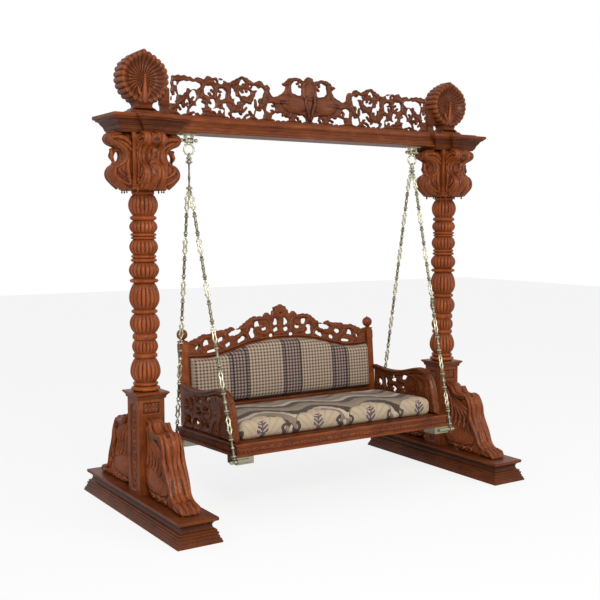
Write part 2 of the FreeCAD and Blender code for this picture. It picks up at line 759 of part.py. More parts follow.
def hexagon(centre_s, centre_b, flat):
    """A hexagon whose flats face along s, so that a link bears on a flat."""
    radius = flat / math.cos(math.pi / 6)
    return [(centre_s + radius * math.cos(math.pi * (index + 0.5) / 3),
             centre_b + radius * math.sin(math.pi * (index + 0.5) / 3)) for index in range(6)]


def fitting(side):
    """Turned hanger with an eye on the shackle's ring and a fork plate for two chains."""
    x = -hanger_spread
    fork_level = fork_levels[side]
    eye_radius = fitting_eye_inner + fitting_eye_wire
    eye_level = ring_level - shackle_ring_radius + shackle_wire + seating_gap - fitting_eye_inner
    eye = ring(eye_radius, fitting_eye_wire, "yz", V(x, 0, eye_level), fitting_eye_sides)
    stem_top = eye_level - eye_radius
    plate_top = fork_level + fork_half_span
    bead = 2 * fitting_bead_radius
    bead_levels = [plate_top]
    upper_bead = stem_top - fitting_eye_wire - bead
    if upper_bead > plate_top + bead:
        bead_levels.append(upper_bead)
    profile = [(fitting_stem_radius, plate_top - fork_rim)]
    for level in bead_levels:
        profile += bulge(level, bead, fitting_stem_radius, fitting_bead_radius)
    profile += [(fitting_stem_radius * 0.8, stem_top)]
    stem = turned(profile, x)
    wide = fork_half_span + fork_rim
    outline = both_sides([(wide - fork_rim, fork_level - fork_rim), (wide, fork_level),
                          (fork_rim, plate_top), (fitting_stem_radius, plate_top + fork_rim)])
    holes = []
    for y in (-fork_half_span, fork_half_span):
        holes.append([(y + b, s) for s, b in hexagon(fork_level, 0.0, fork_hole)])
    plate = slab(outline, "yz", x - fork_thickness / 2, fork_thickness, holes)
    return fused([eye, stem, plate])


def rod_link(upper, lower, lower_hole):
    """A long link in its own plane: s runs down the strand, b across; it bears at upper and lower."""
    half = chain_rod_half_width
    bead = chain_bead_half_width
    upper_centre = upper + chain_hole
    lower_centre = lower - lower_hole
    upper_eye = hexagon(upper_centre, 0.0, chain_hole + chain_rim)
    lower_eye = hexagon(lower_centre, 0.0, lower_hole + chain_rim)
    high = upper_centre + chain_hole + 2 * chain_rim
    low = lower_centre - chain_hole - 2 * chain_rim
    swell = [(high, half), (high + bead, bead), (high + 2 * bead, half),
             (low - 2 * bead, half), (low - bead, bead), (low, half)]
    points = [upper_eye[2], upper_eye[1]] + swell + [lower_eye[1], lower_eye[0]]
    outline = points + [(s, -b) for s, b in reversed(points)]
    return outline, [hexagon(upper_centre, 0.0, chain_hole), hexagon(lower_centre, 0.0, lower_hole)]


def ring_link(upper, lower):
    """A short open link, pierced by one long slot."""
    half = chain_ring_half_width
    slot = chain_ring_slot_half
    shoulder = half - chain_rim
    waist = chain_rim * 0.4
    middle = (upper + lower) / 2
    points = [(upper - chain_rim, shoulder / 2), (upper + shoulder, half), (middle, half - waist),
              (lower - shoulder, half), (lower + chain_rim, shoulder / 2)]
    hole = [(upper, slot / 2), (upper + slot, slot), (lower - slot, slot), (lower, slot / 2)]
    return points + [(s, -b) for s, b in reversed(points)], [hole + [(s, -b) for s, b in reversed(hole)]]


def strand(side, front):
    """One chain from the fork plate to its stud, as separate links."""
    fork_y = -fork_half_span if front else fork_half_span
    top = V(-hanger_spread, fork_y, fork_levels[side])
    bottom = hung_point(-hook_place, stud_y(front), stud_level)
    run = bottom - top
    down = V(run.x, run.y, run.z).normalize()
    across = X_AXIS - down * X_AXIS.dot(down)
    across.normalize()
    sideways = down.cross(across)
    pairs = chain_counts[side]
    hook_hole = stud_radius + hook_clearance
    bearing = fork_hole - fork_play
    pair = (run.Length + hook_hole - bearing + 2 * pairs * chain_gap) / pairs
    ring_length = chain_ring_share * pair
    rod_length = pair - ring_length
    links = []
    for index in range(pairs):
        upper = bearing - chain_gap
        lower = upper + ring_length
        links.append(link_solid(ring_link(upper, lower), top, down, across, sideways))
        upper = lower - chain_gap
        lower = upper + rod_length
        last_hole = hook_hole if index == pairs - 1 else chain_hole
        links.append(link_solid(rod_link(upper, lower, last_hole), top, down, sideways, across))
        bearing = lower
    return links


def link_solid(drawing, top, down, in_plane, normal):
    """Extrude a link's drawing, with s along the strand and b across it in its plane."""
    outline, holes = drawing
    wires = []
    for points in [outline] + holes:
        spots = [top + down * s + in_plane * b - normal * (chain_plate / 2) for s, b in points]
        wires.append(Part.makePolygon(spots + spots[:1]))
    face = Part.makeFace(wires, "Part::FaceMakerBullseye")
    return face.extrude(normal * chain_plate)


def hung_point(x, y, z):
    angle = math.radians(seat_tilt)
    rise = z - seat_tilt_level
    return V(x, y * math.cos(angle) + rise * math.sin(angle),
             seat_tilt_level + rise * math.cos(angle) - y * math.sin(angle))


def stud_y(front):
    return seat_front - stud_front_offset if front else seat_back - stud_back_inset


def apron_rails():
    """Four moulded rails with mitred corners: front, back, left, right."""
    top = apron_top
    frame = moulded_block(seat_half_width, seat_half_depth, [
        (0.0, apron_bottom), (0.0, apron_bottom + apron_lip),
        (apron_sink, apron_bottom + apron_lip + apron_sink), (apron_sink, top - apron_lip - apron_sink),
        (0.0, top - apron_lip), (0.0, top)])
    inner_x = seat_half_width - apron_thickness
    inner_y = seat_half_depth - apron_thickness
    frame = frame.cut(box(-inner_x, inner_x, -inner_y, inner_y, apron_bottom - overrun, top + overrun))
    out_x = seat_half_width + overrun
    out_y = seat_half_depth + overrun
    in_x = inner_x - overrun
    in_y = inner_y - overrun
    height = apron_height + 2 * overrun
    front = slab([(-out_x, -out_y), (out_x, -out_y), (in_x, -in_y), (-in_x, -in_y)], "xy",
                 apron_bottom - overrun, height)
    right = slab([(out_x, -out_y), (out_x, out_y), (in_x, in_y), (in_x, -in_y)], "xy",
                 apron_bottom - overrun, height)
    cutters = {"front_apron": front, "back_apron": front.mirror(ORIGIN, Y_AXIS),
               "right_apron": right, "left_apron": right.mirror(ORIGIN, X_AXIS)}
    return {name: hung(moved(frame.common(cutter), y=seat_middle)) for name, cutter in cutters.items()}


def seat_board():
    inner_x = seat_half_width - apron_thickness
    return hung(box(-inner_x, inner_x, seat_front + apron_thickness, seat_back - apron_thickness,
                    apron_top - board_thickness, apron_top))


def corner_blocks():
    """Metal corner blocks under the frame; the front ones carry a sleeve for the stud."""
    low = apron_bottom - block_height
    blocks = []
    for side in (-1, 1):
        outer = side * seat_half_width
        inner = side * (seat_half_width - block_side)
        x0, x1 = min(outer, inner), max(outer, inner)
        for front in (True, False):
            y0 = seat_front if front else seat_back - block_side
            block = box(x0, x1, y0, y0 + block_side, low, apron_bottom)
            y = stud_y(front)
            if front:
                sleeve = turned([(stud_sleeve_radius, stud_root - stud_grip / 2), (stud_sleeve_radius, seat_half_width)])
                sleeve.rotate(ORIGIN, Y_AXIS, 90 * side)
                sleeve.translate(V(0, y, stud_level))
                block = fused([block, sleeve])
            bore = rod_along_x(stud_radius, outer + side * overrun, side * stud_root, y, stud_level)
            blocks.append(hung(block.cut(bore)))
    return blocks


def corner_studs():
    """Studs that the chains hook over."""
    studs = []
    tip = stud_root + stud_length
    for side in (-1, 1):
        for front in (True, False):
            stud = turned([(stud_radius, stud_root), (stud_radius, tip - 2 * stud_ball_radius),
                           (stud_ball_radius, tip - stud_ball_radius), (stud_ball_radius * 0.5, tip)])
            stud.rotate(ORIGIN, Y_AXIS, 90 * side)
            studs.append(hung(moved(stud, y=stud_y(front), z=stud_level)))
    return studs


def crowned(x0, x1, y0, y1, z0, z1, crown, draw):
    """A cushion with a crowned top, drawn-in sides and mitred corners."""
    def section(a0, a1):
        middle = (a0 + a1) / 2
        waist = (z0 + z1) / 2
        return [(a0 + draw, z0), (a1 - draw, z0), ((a1, waist), (a1 - draw, z1 - crown)),
                ((middle, z1), (a0 + draw, z1 - crown)), ((a0, waist), (a0 + draw, z0))]
    along_y = slab(section(x0, x1), "xz", y0, y1 - y0)
    along_x = slab(section(y0, y1), "yz", x0, x1 - x0)
    return along_y.common(along_x)


def seat_cushion():
    low = apron_top + soft_clearance
    return hung(crowned(-cushion_half_width, cushion_half_width, cushion_front, cushion_back, low,
                        low + cushion_thickness, cushion_crown, cushion_draw))


def posts():
    """Back posts with ball finials, cut level where they stand on the frame."""
    half = post_side / 2
    top = apron_top + post_height
    below = box(-seat_half_width, seat_half_width, seat_front, seat_back + post_side, apron_bottom, apron_top)
    solids = []
    for side in (-1, 1):
        x = side * post_reach
        shaft = box(x - half, x + half, post_axis - half, post_axis + half, apron_top - post_side, top)
        centre = V(x, post_axis, top + post_neck_height + post_ball_radius * 0.9)
        neck = turned([(half * 0.9, top), (post_neck_radius, top + post_neck_height / 2),
                       (post_neck_radius, centre.z - post_ball_radius / 2)], x, post_axis)
        solids.append(hung(leaning(fused([shaft, neck, ball(post_ball_radius, centre)])).cut(below)))
    return solids


def back_line():
    """The arch where the back pad meets the carved crest, right half, listed outwards."""
    return scaled(back_pad_top_shares, back_half_gap, back_crest_peak, 0.0, back_crest_base)


def back_crest():
    """Pierced crest between the posts, above the pad."""
    top = scaled(back_crest_top_shares, back_half_gap, back_crest_peak, 0.0, back_crest_base)
    bottom = back_line()
    half = bottom + top
    left = [(-x, z) for x, z in reversed(half) if x > 0.0]
    holes = []
    for hole in back_crest_hole_shares:
        right = scaled(hole, back_half_gap, back_crest_peak, 0.0, back_crest_base)
        holes.append(right)
        holes.append([(-x, z) for x, z in right])
    board = slab(half + left, "xz", post_axis - back_crest_thickness / 2, back_crest_thickness, holes)
    return hung(leaning(board))


def back_board():
    """Board behind the pad, from the lower rail up to the crest."""
    low = lower_rail_top
    edge = [(x, z) for x, z in reversed(back_line())]
    outline = [(back_half_gap, low)] + edge
    left = [(-x, z) for x, z in reversed(outline) if x > 0.0]
    board = slab(outline + left, "xz", post_axis - back_board_thickness / 2, back_board_thickness)
    return hung(leaning(board))


def lower_back_rail():
    half = lower_rail_thickness / 2
    bar = box(-back_half_gap, back_half_gap, post_axis - half, post_axis + half, lower_rail_bottom,
              lower_rail_top)
    return hung(leaning(bar))


def back_pad():
    """Arched pad in front of the board, with a crowned face."""
    back = back_pad_back
    front = back - back_pad_thickness
    width_share = back_pad_half_width / back_half_gap
    edge = [(x * width_share, z - soft_clearance) for x, z in reversed(back_line())]
    outline = [(back_pad_half_width, back_pad_bottom)] + edge
    left = [(-x, z) for x, z in reversed(outline) if x > 0.0]
    board = slab(outline + left, "xz", front, back_pad_thickness)
    top = back_crest_base + back_pad_top_shares[0][1] * back_crest_peak
    middle = (back_pad_bottom + top) / 2
    face = front + back_pad_crown
    bulged = slab([(back, back_pad_bottom), (back, top), (face, top), ((front, middle), (face, back_pad_bottom))],
                  "yz", -back_pad_half_width, 2 * back_pad_half_width)
    wide = [(-back_pad_half_width, back), (-back_pad_half_width, face),
            ((0.0, front), (back_pad_half_width, face)), (back_pad_half_width, back)]
    swollen = slab(wide, "xy", back_pad_bottom, top - back_pad_bottom)
    return hung(leaning(board.common(bulged).common(swollen)))


def arm_point(pair, drop=0.0):
    """An arm's share pair as Y and Z; the back end lies inside the post, where it is scribed."""
    along, up = pair
    return (post_axis - along * arm_length, apron_top + up * arm_height - drop)


def arm_rest(post):
    """The rest: a wide lip on a narrower moulding, along the arm's wavy top."""
    shapes = []
    depths = ((0.0, arm_rest_height, arm_rest_half_width),
              (arm_rest_height, arm_rest_height + arm_under_height, arm_rest_under_half_width))
    for high, low, half in depths:
        over = [arm_point(pair, high) for pair in arm_top_shares]
        under = [arm_point(pair, low) for pair in reversed(arm_top_shares)]
        shapes.append(slab(over + under, "yz", arm_axis - half, 2 * half))
    return hung(fused(shapes)).cut(post)


def arm_panel(post):
    """Pierced side panel with the scrolled front post, under the rest."""
    depth = arm_rest_height + arm_under_height
    under = [arm_point(pair, depth) for pair in arm_top_shares]
    front = [arm_point(arm_top_shares[-1])] + [arm_point(pair) for pair in arm_front_shares]
    outline = under + front + [(post_axis, apron_top)]
    holes = [[arm_point(pair) for pair in hole] for hole in arm_hole_shares]
    half = arm_panel_thickness / 2
    board = slab(outline, "yz", arm_axis - half, arm_panel_thickness, holes)
    inner = [arm_point(pair) for pair in arm_scroll_shares]
    edge = [arm_point(pair, depth) for pair in arm_top_shares if pair[0] > arm_scroll_shares[-1][0]]
    scroll = slab(inner + edge + front, "yz", arm_axis - arm_scroll_half_width, 2 * arm_scroll_half_width)
    return hung(fused([board, scroll])).cut(post)


def build_stand():
    """Everything that stands still; the left side is made and mirrored."""
    half = column_spacing / 2
    pieces = {"base": plinth(), "pedestal": pedestal(), "pedestal_cap": pedestal_cap(),
              "column": column(), "capital": capital(), "finial": finial()}
    for name, shape in pieces.items():
        write("left_" + name, moved(shape, -half))
        write("right_" + name, moved(shape, half))
    four = brackets()
    write("left_brackets", [moved(shape, -half) for shape in four])
    write("right_brackets", [moved(shape, half) for shape in four])
    front_lion = lion()
    back_lion = front_lion.mirror(ORIGIN, Y_AXIS)
    for name, shape in (("front_lion", front_lion), ("back_lion", back_lion)):
        write("left_" + name, moved(shape, -half))
        write("right_" + name, moved(shape, half))
    left_cornice = moved(cornice(), -half)
    right_cornice = moved(cornice(), half)
    write("left_cornice", left_cornice)
    write("right_cornice", right_cornice)
    write("beam", beam(left_cornice, right_cornice))
    write("crest_rail", crest_rail())
    write("left_crest", crest_side())
    write("right_crest", mirrored(crest_side()))
    write("peacock_crest", peacock_panel())
    write("left_beam_lug", lug())
    write("right_beam_lug", mirrored(lug()))
    write("lug_screws", lug_screws())
    write("left_cross_pin", cross_pin())
    write("right_cross_pin", mirrored(cross_pin()))


def build_hangers():
    write("left_shackle", shackle())
    write("right_shackle", mirrored(shackle()))
    write("left_fitting", fitting("left"))
    write("right_fitting", mirrored(fitting("right")))
    for front, name in ((True, "front_chain"), (False, "back_chain")):
        write("left_" + name, strand("left", front))
        write("right_" + name, [mirrored(link) for link in strand("right", front)])


def build_seat():
    for name, rail in apron_rails().items():
        write(name, rail)
    write("seat_board", seat_board())
    write("corner_blocks", corner_blocks())
    write("corner_studs", corner_studs())
    write("seat_cushion", seat_cushion())
    left_post, right_post = posts()
    write("left_back_post", left_post)
    write("right_back_post", right_post)
    write("lower_back_rail", lower_back_rail())
    write("back_board", back_board())
    write("back_crest", back_crest())
    write("back_pad", back_pad())
    write("right_arm_rest", arm_rest(right_post))
    write("right_arm_panel", arm_panel(right_post))
    write("left_arm_rest", mirrored(arm_rest(right_post)))
    write("left_arm_panel", mirrored(arm_panel(right_post)))


os.makedirs("parts", exist_ok=True)
build_stand()
build_hangers()
build_seat()
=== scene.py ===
"""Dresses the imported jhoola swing: polished carved teak, brass chains, a damask seat cushion and a check back pad.

Lengths in the tables are millimetres and become metres when a mesh is made. X runs along the beam, -Y is the front.
"""

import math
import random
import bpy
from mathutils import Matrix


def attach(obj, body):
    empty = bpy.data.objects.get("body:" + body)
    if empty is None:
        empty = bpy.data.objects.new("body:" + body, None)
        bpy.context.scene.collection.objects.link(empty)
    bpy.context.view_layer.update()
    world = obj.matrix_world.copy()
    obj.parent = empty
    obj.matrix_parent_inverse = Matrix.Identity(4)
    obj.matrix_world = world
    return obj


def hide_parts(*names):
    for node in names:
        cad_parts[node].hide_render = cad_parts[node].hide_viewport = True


bl_info = {
    "name": "Jhoola swing dresser",
    "version": (1, 0, 0),
    "blender": (4, 5, 0),
    "location": "View3D > Sidebar > Jhoola",
    "description": "Carved teak, brass chains and upholstery for a jhoola swing",
    "category": "Object",
}

import bpy
import numpy as np
from mathutils import Matrix, Vector

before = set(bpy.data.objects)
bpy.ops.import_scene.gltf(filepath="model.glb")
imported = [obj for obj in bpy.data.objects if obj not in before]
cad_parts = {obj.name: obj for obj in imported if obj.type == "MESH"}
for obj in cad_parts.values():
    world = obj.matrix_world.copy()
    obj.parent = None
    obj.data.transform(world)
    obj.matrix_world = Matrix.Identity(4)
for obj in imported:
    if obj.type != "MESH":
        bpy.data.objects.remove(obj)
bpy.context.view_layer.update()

MM = 0.001
SIDES = (("left", -1.0), ("right", 1.0))

# Heights and places that the pieces share, in millimetres
COLUMN_X = 910.0
PLINTH_TOP = 110.0
PEDESTAL_HALF = 64.5
PEDESTAL_TALL = 447.0
COLUMN_FOOT = 588.0
CAPITAL_FOOT = 1511.0
CORNICE_FOOT = 1768.0
BEAM_TOP = 1847.0
CREST_FOOT = 1867.0
HANGER_X = 675.0
PIN_LEVEL = 1751.0
RING_LEVEL = 1709.0
APRON_TOP = 349.0
POST_AXIS = 236.0
BACK_HALF_WIDTH = 565.5
POST_X = 586.0
ARM_X = 605.0
PAD_HALF_WIDTH = 558.0
CREST_BASE = 676.0
TILT_LEVEL = 309.0
SEAT_TILT = -2.3
BACK_TILT = -2.94

SEAT_PLACE = (Matrix.Translation((0, 0, TILT_LEVEL * MM)) @ Matrix.Rotation(math.radians(SEAT_TILT), 4, "X")
              @ Matrix.Translation((0, 0, -TILT_LEVEL * MM)))
BACK_PLACE = (SEAT_PLACE @ Matrix.Translation((0, POST_AXIS * MM, APRON_TOP * MM))
              @ Matrix.Rotation(math.radians(BACK_TILT), 4, "X")
              @ Matrix.Translation((0, -POST_AXIS * MM, -APRON_TOP * MM)))

FINISHES = {}


# ---------------------------------------------------------------------------------------------
# Sizes and colours
# ---------------------------------------------------------------------------------------------

class JhoolaWood(bpy.types.PropertyGroup):
    """Polished teak of the stand and the seat."""
    light: bpy.props.FloatVectorProperty(
        name="Light grain", description="Colour of the pale early wood", subtype="COLOR", size=3,
        default=(0.400, 0.108, 0.026), min=0.0, max=1.0)
    middle: bpy.props.FloatVectorProperty(
        name="Middle grain", description="Main colour of the polished wood", subtype="COLOR", size=3,
        default=(0.258, 0.060, 0.013), min=0.0, max=1.0)
    dark: bpy.props.FloatVectorProperty(
        name="Dark grain", description="Colour of the grain lines", subtype="COLOR", size=3,
        default=(0.120, 0.025, 0.006), min=0.0, max=1.0)
    # Colour of the painted shade in the carving's hollows and creases
    hollow: bpy.props.FloatVectorProperty(
        name="Hollows", description="Colour of the stain left in the carving's hollows", subtype="COLOR", size=3,
        default=(0.030, 0.007, 0.003), min=0.0, max=1.0)
    polish: bpy.props.FloatProperty(
        name="Polish", description="Strength of the clear lacquer coat", subtype="FACTOR", default=0.06,
        min=0.0, max=1.0)
    roughness: bpy.props.FloatProperty(
        name="Roughness", description="Roughness of the wood under the coat", subtype="FACTOR", default=0.42,
        min=0.05, max=1.0)


class JhoolaBrass(bpy.types.PropertyGroup):
    """Cast brass of the chains and hangers."""
    bright: bpy.props.FloatVectorProperty(
        name="Bright brass", description="Colour of the rubbed brass", subtype="COLOR", size=3,
        default=(0.56, 0.53, 0.38), min=0.0, max=1.0)
    dull: bpy.props.FloatVectorProperty(
        name="Dull brass", description="Colour of the tarnish in the hollows", subtype="COLOR", size=3,
        default=(0.10, 0.095, 0.060), min=0.0, max=1.0)
    roughness: bpy.props.FloatProperty(
        name="Roughness", description="Roughness of the cast surface", subtype="FACTOR", default=0.34,
        min=0.05, max=1.0)


class JhoolaTurning(bpy.types.PropertyGroup):
    """The turned columns."""
    reeds: bpy.props.IntProperty(
        name="Reeds", description="Number of reeds round each bulb", default=20, min=8, max=40)
    reed_depth: bpy.props.FloatProperty(
        name="Reed depth", description="How deep the reeds are cut", subtype="DISTANCE", unit="LENGTH",
        default=0.0052, min=0.0, max=0.012)


class JhoolaCarving(bpy.types.PropertyGroup):
    """The pierced and carved boards."""
    step: bpy.props.FloatProperty(
        name="Cutting step", description="Size of the grid that the carving is cut on", subtype="DISTANCE",
        unit="LENGTH", default=0.0028, min=0.0015, max=0.008)
    rounding: bpy.props.FloatProperty(
        name="Rounding", description="Width over which a carved edge rounds off", subtype="DISTANCE",
        unit="LENGTH", default=0.008, min=0.002, max=0.03)


class JhoolaFabric(bpy.types.PropertyGroup):
    """Upholstery of the seat."""
    swell: bpy.props.FloatProperty(
        name="Swell", description="Furthest that a cushion's cover may swell", subtype="DISTANCE", unit="LENGTH",
        default=0.007, min=0.0, max=0.03)
    damask_repeat: bpy.props.FloatProperty(
        name="Damask repeat", description="Width of one repeat of the seat cushion's pattern",
        subtype="DISTANCE", unit="LENGTH", default=0.316, min=0.1, max=0.8)
    check_repeat: bpy.props.FloatProperty(
        name="Check repeat", description="Width of one check on the back pad", subtype="DISTANCE",
        unit="LENGTH", default=0.0188, min=0.005, max=0.05)
    beige: bpy.props.FloatVectorProperty(
        name="Beige", description="Ground colour of both fabrics", subtype="COLOR", size=3,
        default=(0.50, 0.385, 0.255), min=0.0, max=1.0)
    brown: bpy.props.FloatVectorProperty(
        name="Brown", description="Brown yarn of both fabrics", subtype="COLOR", size=3,
        default=(0.115, 0.062, 0.038), min=0.0, max=1.0)
    taupe: bpy.props.FloatVectorProperty(
        name="Taupe", description="Taupe yarn of the damask's waves", subtype="COLOR", size=3,
        default=(0.27, 0.20, 0.15), min=0.0, max=1.0)
    purple: bpy.props.FloatVectorProperty(
        name="Purple", description="Purple yarn of the stalks and the check's bands", subtype="COLOR", size=3,
        default=(0.075, 0.045, 0.075), min=0.0, max=1.0)


class JhoolaStage(bpy.types.PropertyGroup):
    """Floor, lamps and camera."""
    floor: bpy.props.FloatVectorProperty(
        name="Floor", description="Colour of the floor", subtype="COLOR", size=3, default=(0.92, 0.92, 0.92),
        min=0.0, max=1.0)
    daylight: bpy.props.FloatProperty(
        name="Daylight", description="Strength of the even light from all round", default=0.52, min=0.0, max=4.0)
    key_light: bpy.props.FloatProperty(
        name="Key lamp", description="Power of the large lamp at the front left", subtype="POWER", default=190.0,
        min=0.0, max=2000.0)
    fill_light: bpy.props.FloatProperty(
        name="Fill lamp", description="Power of the lamp at the front right", subtype="POWER", default=45.0,
        min=0.0, max=2000.0)


GROUPS = {
    "jhoola_wood": JhoolaWood, "jhoola_brass": JhoolaBrass, "jhoola_turning": JhoolaTurning,
    "jhoola_carving": JhoolaCarving, "jhoola_fabric": JhoolaFabric, "jhoola_stage": JhoolaStage,
}


# ---------------------------------------------------------------------------------------------
# Gathering points and faces into pieces
# ---------------------------------------------------------------------------------------------

class Form:
    """Points, faces and hollow values of one piece, gathered in millimetres."""

    def __init__(self):
        self.points = []
        self.faces = []
        self.hollows = []
        self.count = 0

    def add(self, points, faces, hollow=0.0, place=None):
        points = np.asarray(points, float).reshape(-1, 3)
        if place is not None:
            turn = np.array(place)
            points = points @ turn[:3, :3].T + turn[:3, 3]
        self.points.append(points)
        self.faces.extend([tuple(int(i) + self.count for i in face) for face in faces])
        self.hollows.append(np.broadcast_to(np.asarray(hollow, float), (len(points),)))
        self.count += len(points)
        return self

    def join(self, other, place=None, flip_x=False, mirrored_place=False):
        """Add another form; flip_x mirrors it, and a place that mirrors needs its faces turned back."""
        points, faces = np.concatenate(other.points), other.faces
        if flip_x:
            points = points * np.array([-1.0, 1.0, 1.0])
        if flip_x or mirrored_place:
            faces = flipped(faces)
        return self.add(points, faces, np.concatenate(other.hollows), place)


def flipped(faces):
    """The same faces, seen from their other side."""
    return [tuple(reversed(face)) for face in faces]


def finished_piece(name, form, finish, body, slot, stands_for=(), place=None, sharp=40.0, bevel=0.0):
    """Turn a form into a piece that rides on a body and stands for the named nodes."""
    mesh = bpy.data.meshes.new(name)
    points = np.concatenate(form.points) * MM
    mesh.from_pydata(points.tolist(), [], form.faces)
    mesh.materials.append(FINISHES[finish])
    # The hollow attribute carries the painted shade of the wood and the tarnish of the brass
    hollow = mesh.attributes.new("hollow", "FLOAT", "POINT")
    hollow.data.foreach_set("value", np.concatenate(form.hollows).astype(np.float32))
    mesh.polygons.foreach_set("use_smooth", [True] * len(mesh.polygons))
    mesh.update()
    mesh.set_sharp_from_angle(angle=math.radians(sharp))
    piece = bpy.data.objects.new(name, mesh)
    bpy.context.scene.collection.objects.link(piece)
    if place is not None:
        piece.matrix_world = place
    if bevel:
        eased = piece.modifiers.new("Eased edges", "BEVEL")
        eased.width = bevel * MM
        eased.segments = 2
        eased.limit_method = "ANGLE"
        eased.angle_limit = math.radians(38)
        eased.harden_normals = False
    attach(piece, body)
    if stands_for:
        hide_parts(*stands_for)
    return piece


def refinish(node, finish):
    """Give a CAD node that stays visible its finish."""
    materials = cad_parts[node].data.materials
    materials.clear()
    materials.append(FINISHES[finish])


def at(x=0.0, y=0.0, z=0.0):
    """A place in millimetres for use inside a form."""
    return Matrix.Translation((x, y, z))


def on_column(sign):
    """The place of the left or right column on the floor, in metres."""
    return Matrix.Translation((sign * COLUMN_X * MM, 0, 0))


def stand_pair(name, form, finish, node, **edges):
    """The same wooden form on both sides of the stand."""
    for side, sign in SIDES:
        finished_piece(side + name, form, finish, "stand", "wood", [side + node], on_column(sign), **edges)


def ring_faces(rings, around, closed_ends=True):
    """Faces between rings of points, each ring closed on itself."""
    faces = []
    for row in range(rings - 1):
        for spot in range(around):
            nxt = (spot + 1) % around
            faces.append((row * around + spot, row * around + nxt, (row + 1) * around + nxt,
                          (row + 1) * around + spot))
    if closed_ends:
        faces.append(tuple(reversed(range(around))))
        faces.append(tuple(range((rings - 1) * around, rings * around)))
    return faces


def curve_line(items, steps=6):
    """A drawn line: a pair is a corner, and a pair of pairs is a curve by its handle to its end."""
    line = [items[0]]
    for item in items[1:]:
        if isinstance(item[0], tuple):
            start, handle, end = line[-1], item[0], item[1]
            for index in range(1, steps + 1):
                t = index / steps
                line.append(tuple((1 - t) ** 2 * a + 2 * t * (1 - t) * b + t * t * c
                                  for a, b, c in zip(start, handle, end)))
        else:
            line.append(item)
    return line


def moulding(corners, profile):
    """A solid whose profile of inset and level runs round a square-cornered outline, with mitred corners."""
    form = Form()
    corners = np.array(corners, float)
    along = np.roll(corners, -1, axis=0) - corners
    along /= np.linalg.norm(along, axis=1)[:, None]
    outward = np.stack([along[:, 1], -along[:, 0]], axis=1)
    mitre = outward + np.roll(outward, 1, axis=0)
    rings = [np.column_stack([corners - mitre * inset, np.full(len(corners), level)])
             for inset, level in profile]
    insets = np.array([inset for inset, _ in profile])
    around = len(corners)
    # Painted shade in the profile's recessed steps
    hollow = np.repeat(hollow_of_line(insets, 9), around) * 0.7
    return form.add(np.concatenate(rings), ring_faces(len(profile), around), hollow)


def rectangle(half_x, half_y, x=0.0, y=0.0):
    return [(x - half_x, y - half_y), (x + half_x, y - half_y), (x + half_x, y + half_y), (x - half_x, y + half_y)]


def hollow_of_line(insets, span):
    """How far each station of a profile lies behind its neighbours, from 0 to 1."""
    padded = np.pad(insets, span, mode="edge")
    proud = np.array([padded[i:i + 2 * span + 1].min() for i in range(len(insets))])
    return np.clip((insets - proud) / 22.0, 0.0, 1.0)


def turning(profile, around=40, reeds=0, reed_depth=0.0):
    """A turned solid on the Z axis from radius, level and reed amount; reeds are rounded ribs."""
    profile = [tuple(item) + (0.0,) * (3 - len(item)) for item in profile]
    angle = np.arange(around) * 2 * math.pi / around
    rib = np.abs(np.sin(angle * reeds / 2.0)) ** 0.55 if reeds else np.ones(around)
    radii = np.array([item[0] for item in profile])
    widest = np.pad(radii, 10, mode="edge")
    near = np.array([widest[i:i + 21].max() for i in range(len(radii))])
    rings, hollow = [], []
    for (radius, level, amount), neighbour in zip(profile, near):
        cut = reed_depth * amount * (1.0 - rib)
        reach = np.maximum(radius - cut, 0.01)
        rings.append(np.column_stack([reach * np.cos(angle), reach * np.sin(angle), np.full(around, level)]))
        # Painted shade in the necks between swellings and in the grooves between the reeds
        deep = np.clip((neighbour - radius) / (0.45 * neighbour + 0.01), 0.0, 1.0) * 0.55
        hollow.append(np.clip(deep + amount * (1.0 - rib) * (0.95 if reeds else 0.0), 0.0, 1.0))
    return Form().add(np.concatenate(rings), ring_faces(len(profile), around), np.concatenate(hollow))


def bead_line(level, height, foot, crown, steps=6, reed=0.0, lean=0.5):
    """Stations of a rounded swelling between two necks."""
    stations = []
    for index in range(1, steps):
        share = index / steps
        turn = share / (2 * lean) if share < lean else 0.5 + (share - lean) / (2 * (1 - lean))
        swell = math.sin(math.pi * turn) ** 0.75
        stations.append((foot + (crown - foot) * swell, level + height * share, reed * min(1.0, swell * 1.25)))
    return stations


def tube(line, radii, around=8, side_shade=0.0):
    """A round bar along a line of points, with a radius at each; its last argument paints shade on the bar's two sides.
    """
    line = np.array(line, float)
    radii = np.broadcast_to(np.asarray(radii, float), (len(line),))
    ahead = np.gradient(line, axis=0)
    ahead /= np.linalg.norm(ahead, axis=1)[:, None]
    side = np.cross(ahead, np.eye(3)[np.argmin(np.ptp(line, axis=0))])
    side /= np.linalg.norm(side, axis=1)[:, None]
    up = np.cross(side, ahead)
    angle = np.arange(around) * 2 * math.pi / around
    rings = [spot + radius * (np.outer(np.cos(angle), s) + np.outer(np.sin(angle), u))
             for spot, radius, s, u in zip(line, radii, side, up)]
    # Painted shade on the bar's two sides, where it meets its neighbours
    tone = np.tile(side_shade * np.sin(angle) ** 2, len(line))
    return Form().add(np.concatenate(rings), flipped(ring_faces(len(line), around)), tone)


def hoop(radius, wire, around, section):
    """A ring of round wire in the XZ plane."""
    points, faces = [], []
    for index in range(around):
        turn = 2 * math.pi * index / around
        for spot in range(section):
            roll = 2 * math.pi * spot / section
            reach = radius + wire * math.cos(roll)
            points.append((reach * math.cos(turn), wire * math.sin(roll), reach * math.sin(turn)))
    for index in range(around):
        nxt = (index + 1) % around
        for spot in range(section):
            after = (spot + 1) % section
            faces.append((index * section + spot, nxt * section + spot, nxt * section + after,
                          index * section + after))
    return Form().add(points, flipped(faces))


# ---------------------------------------------------------------------------------------------
# Carving boards in relief
# ---------------------------------------------------------------------------------------------

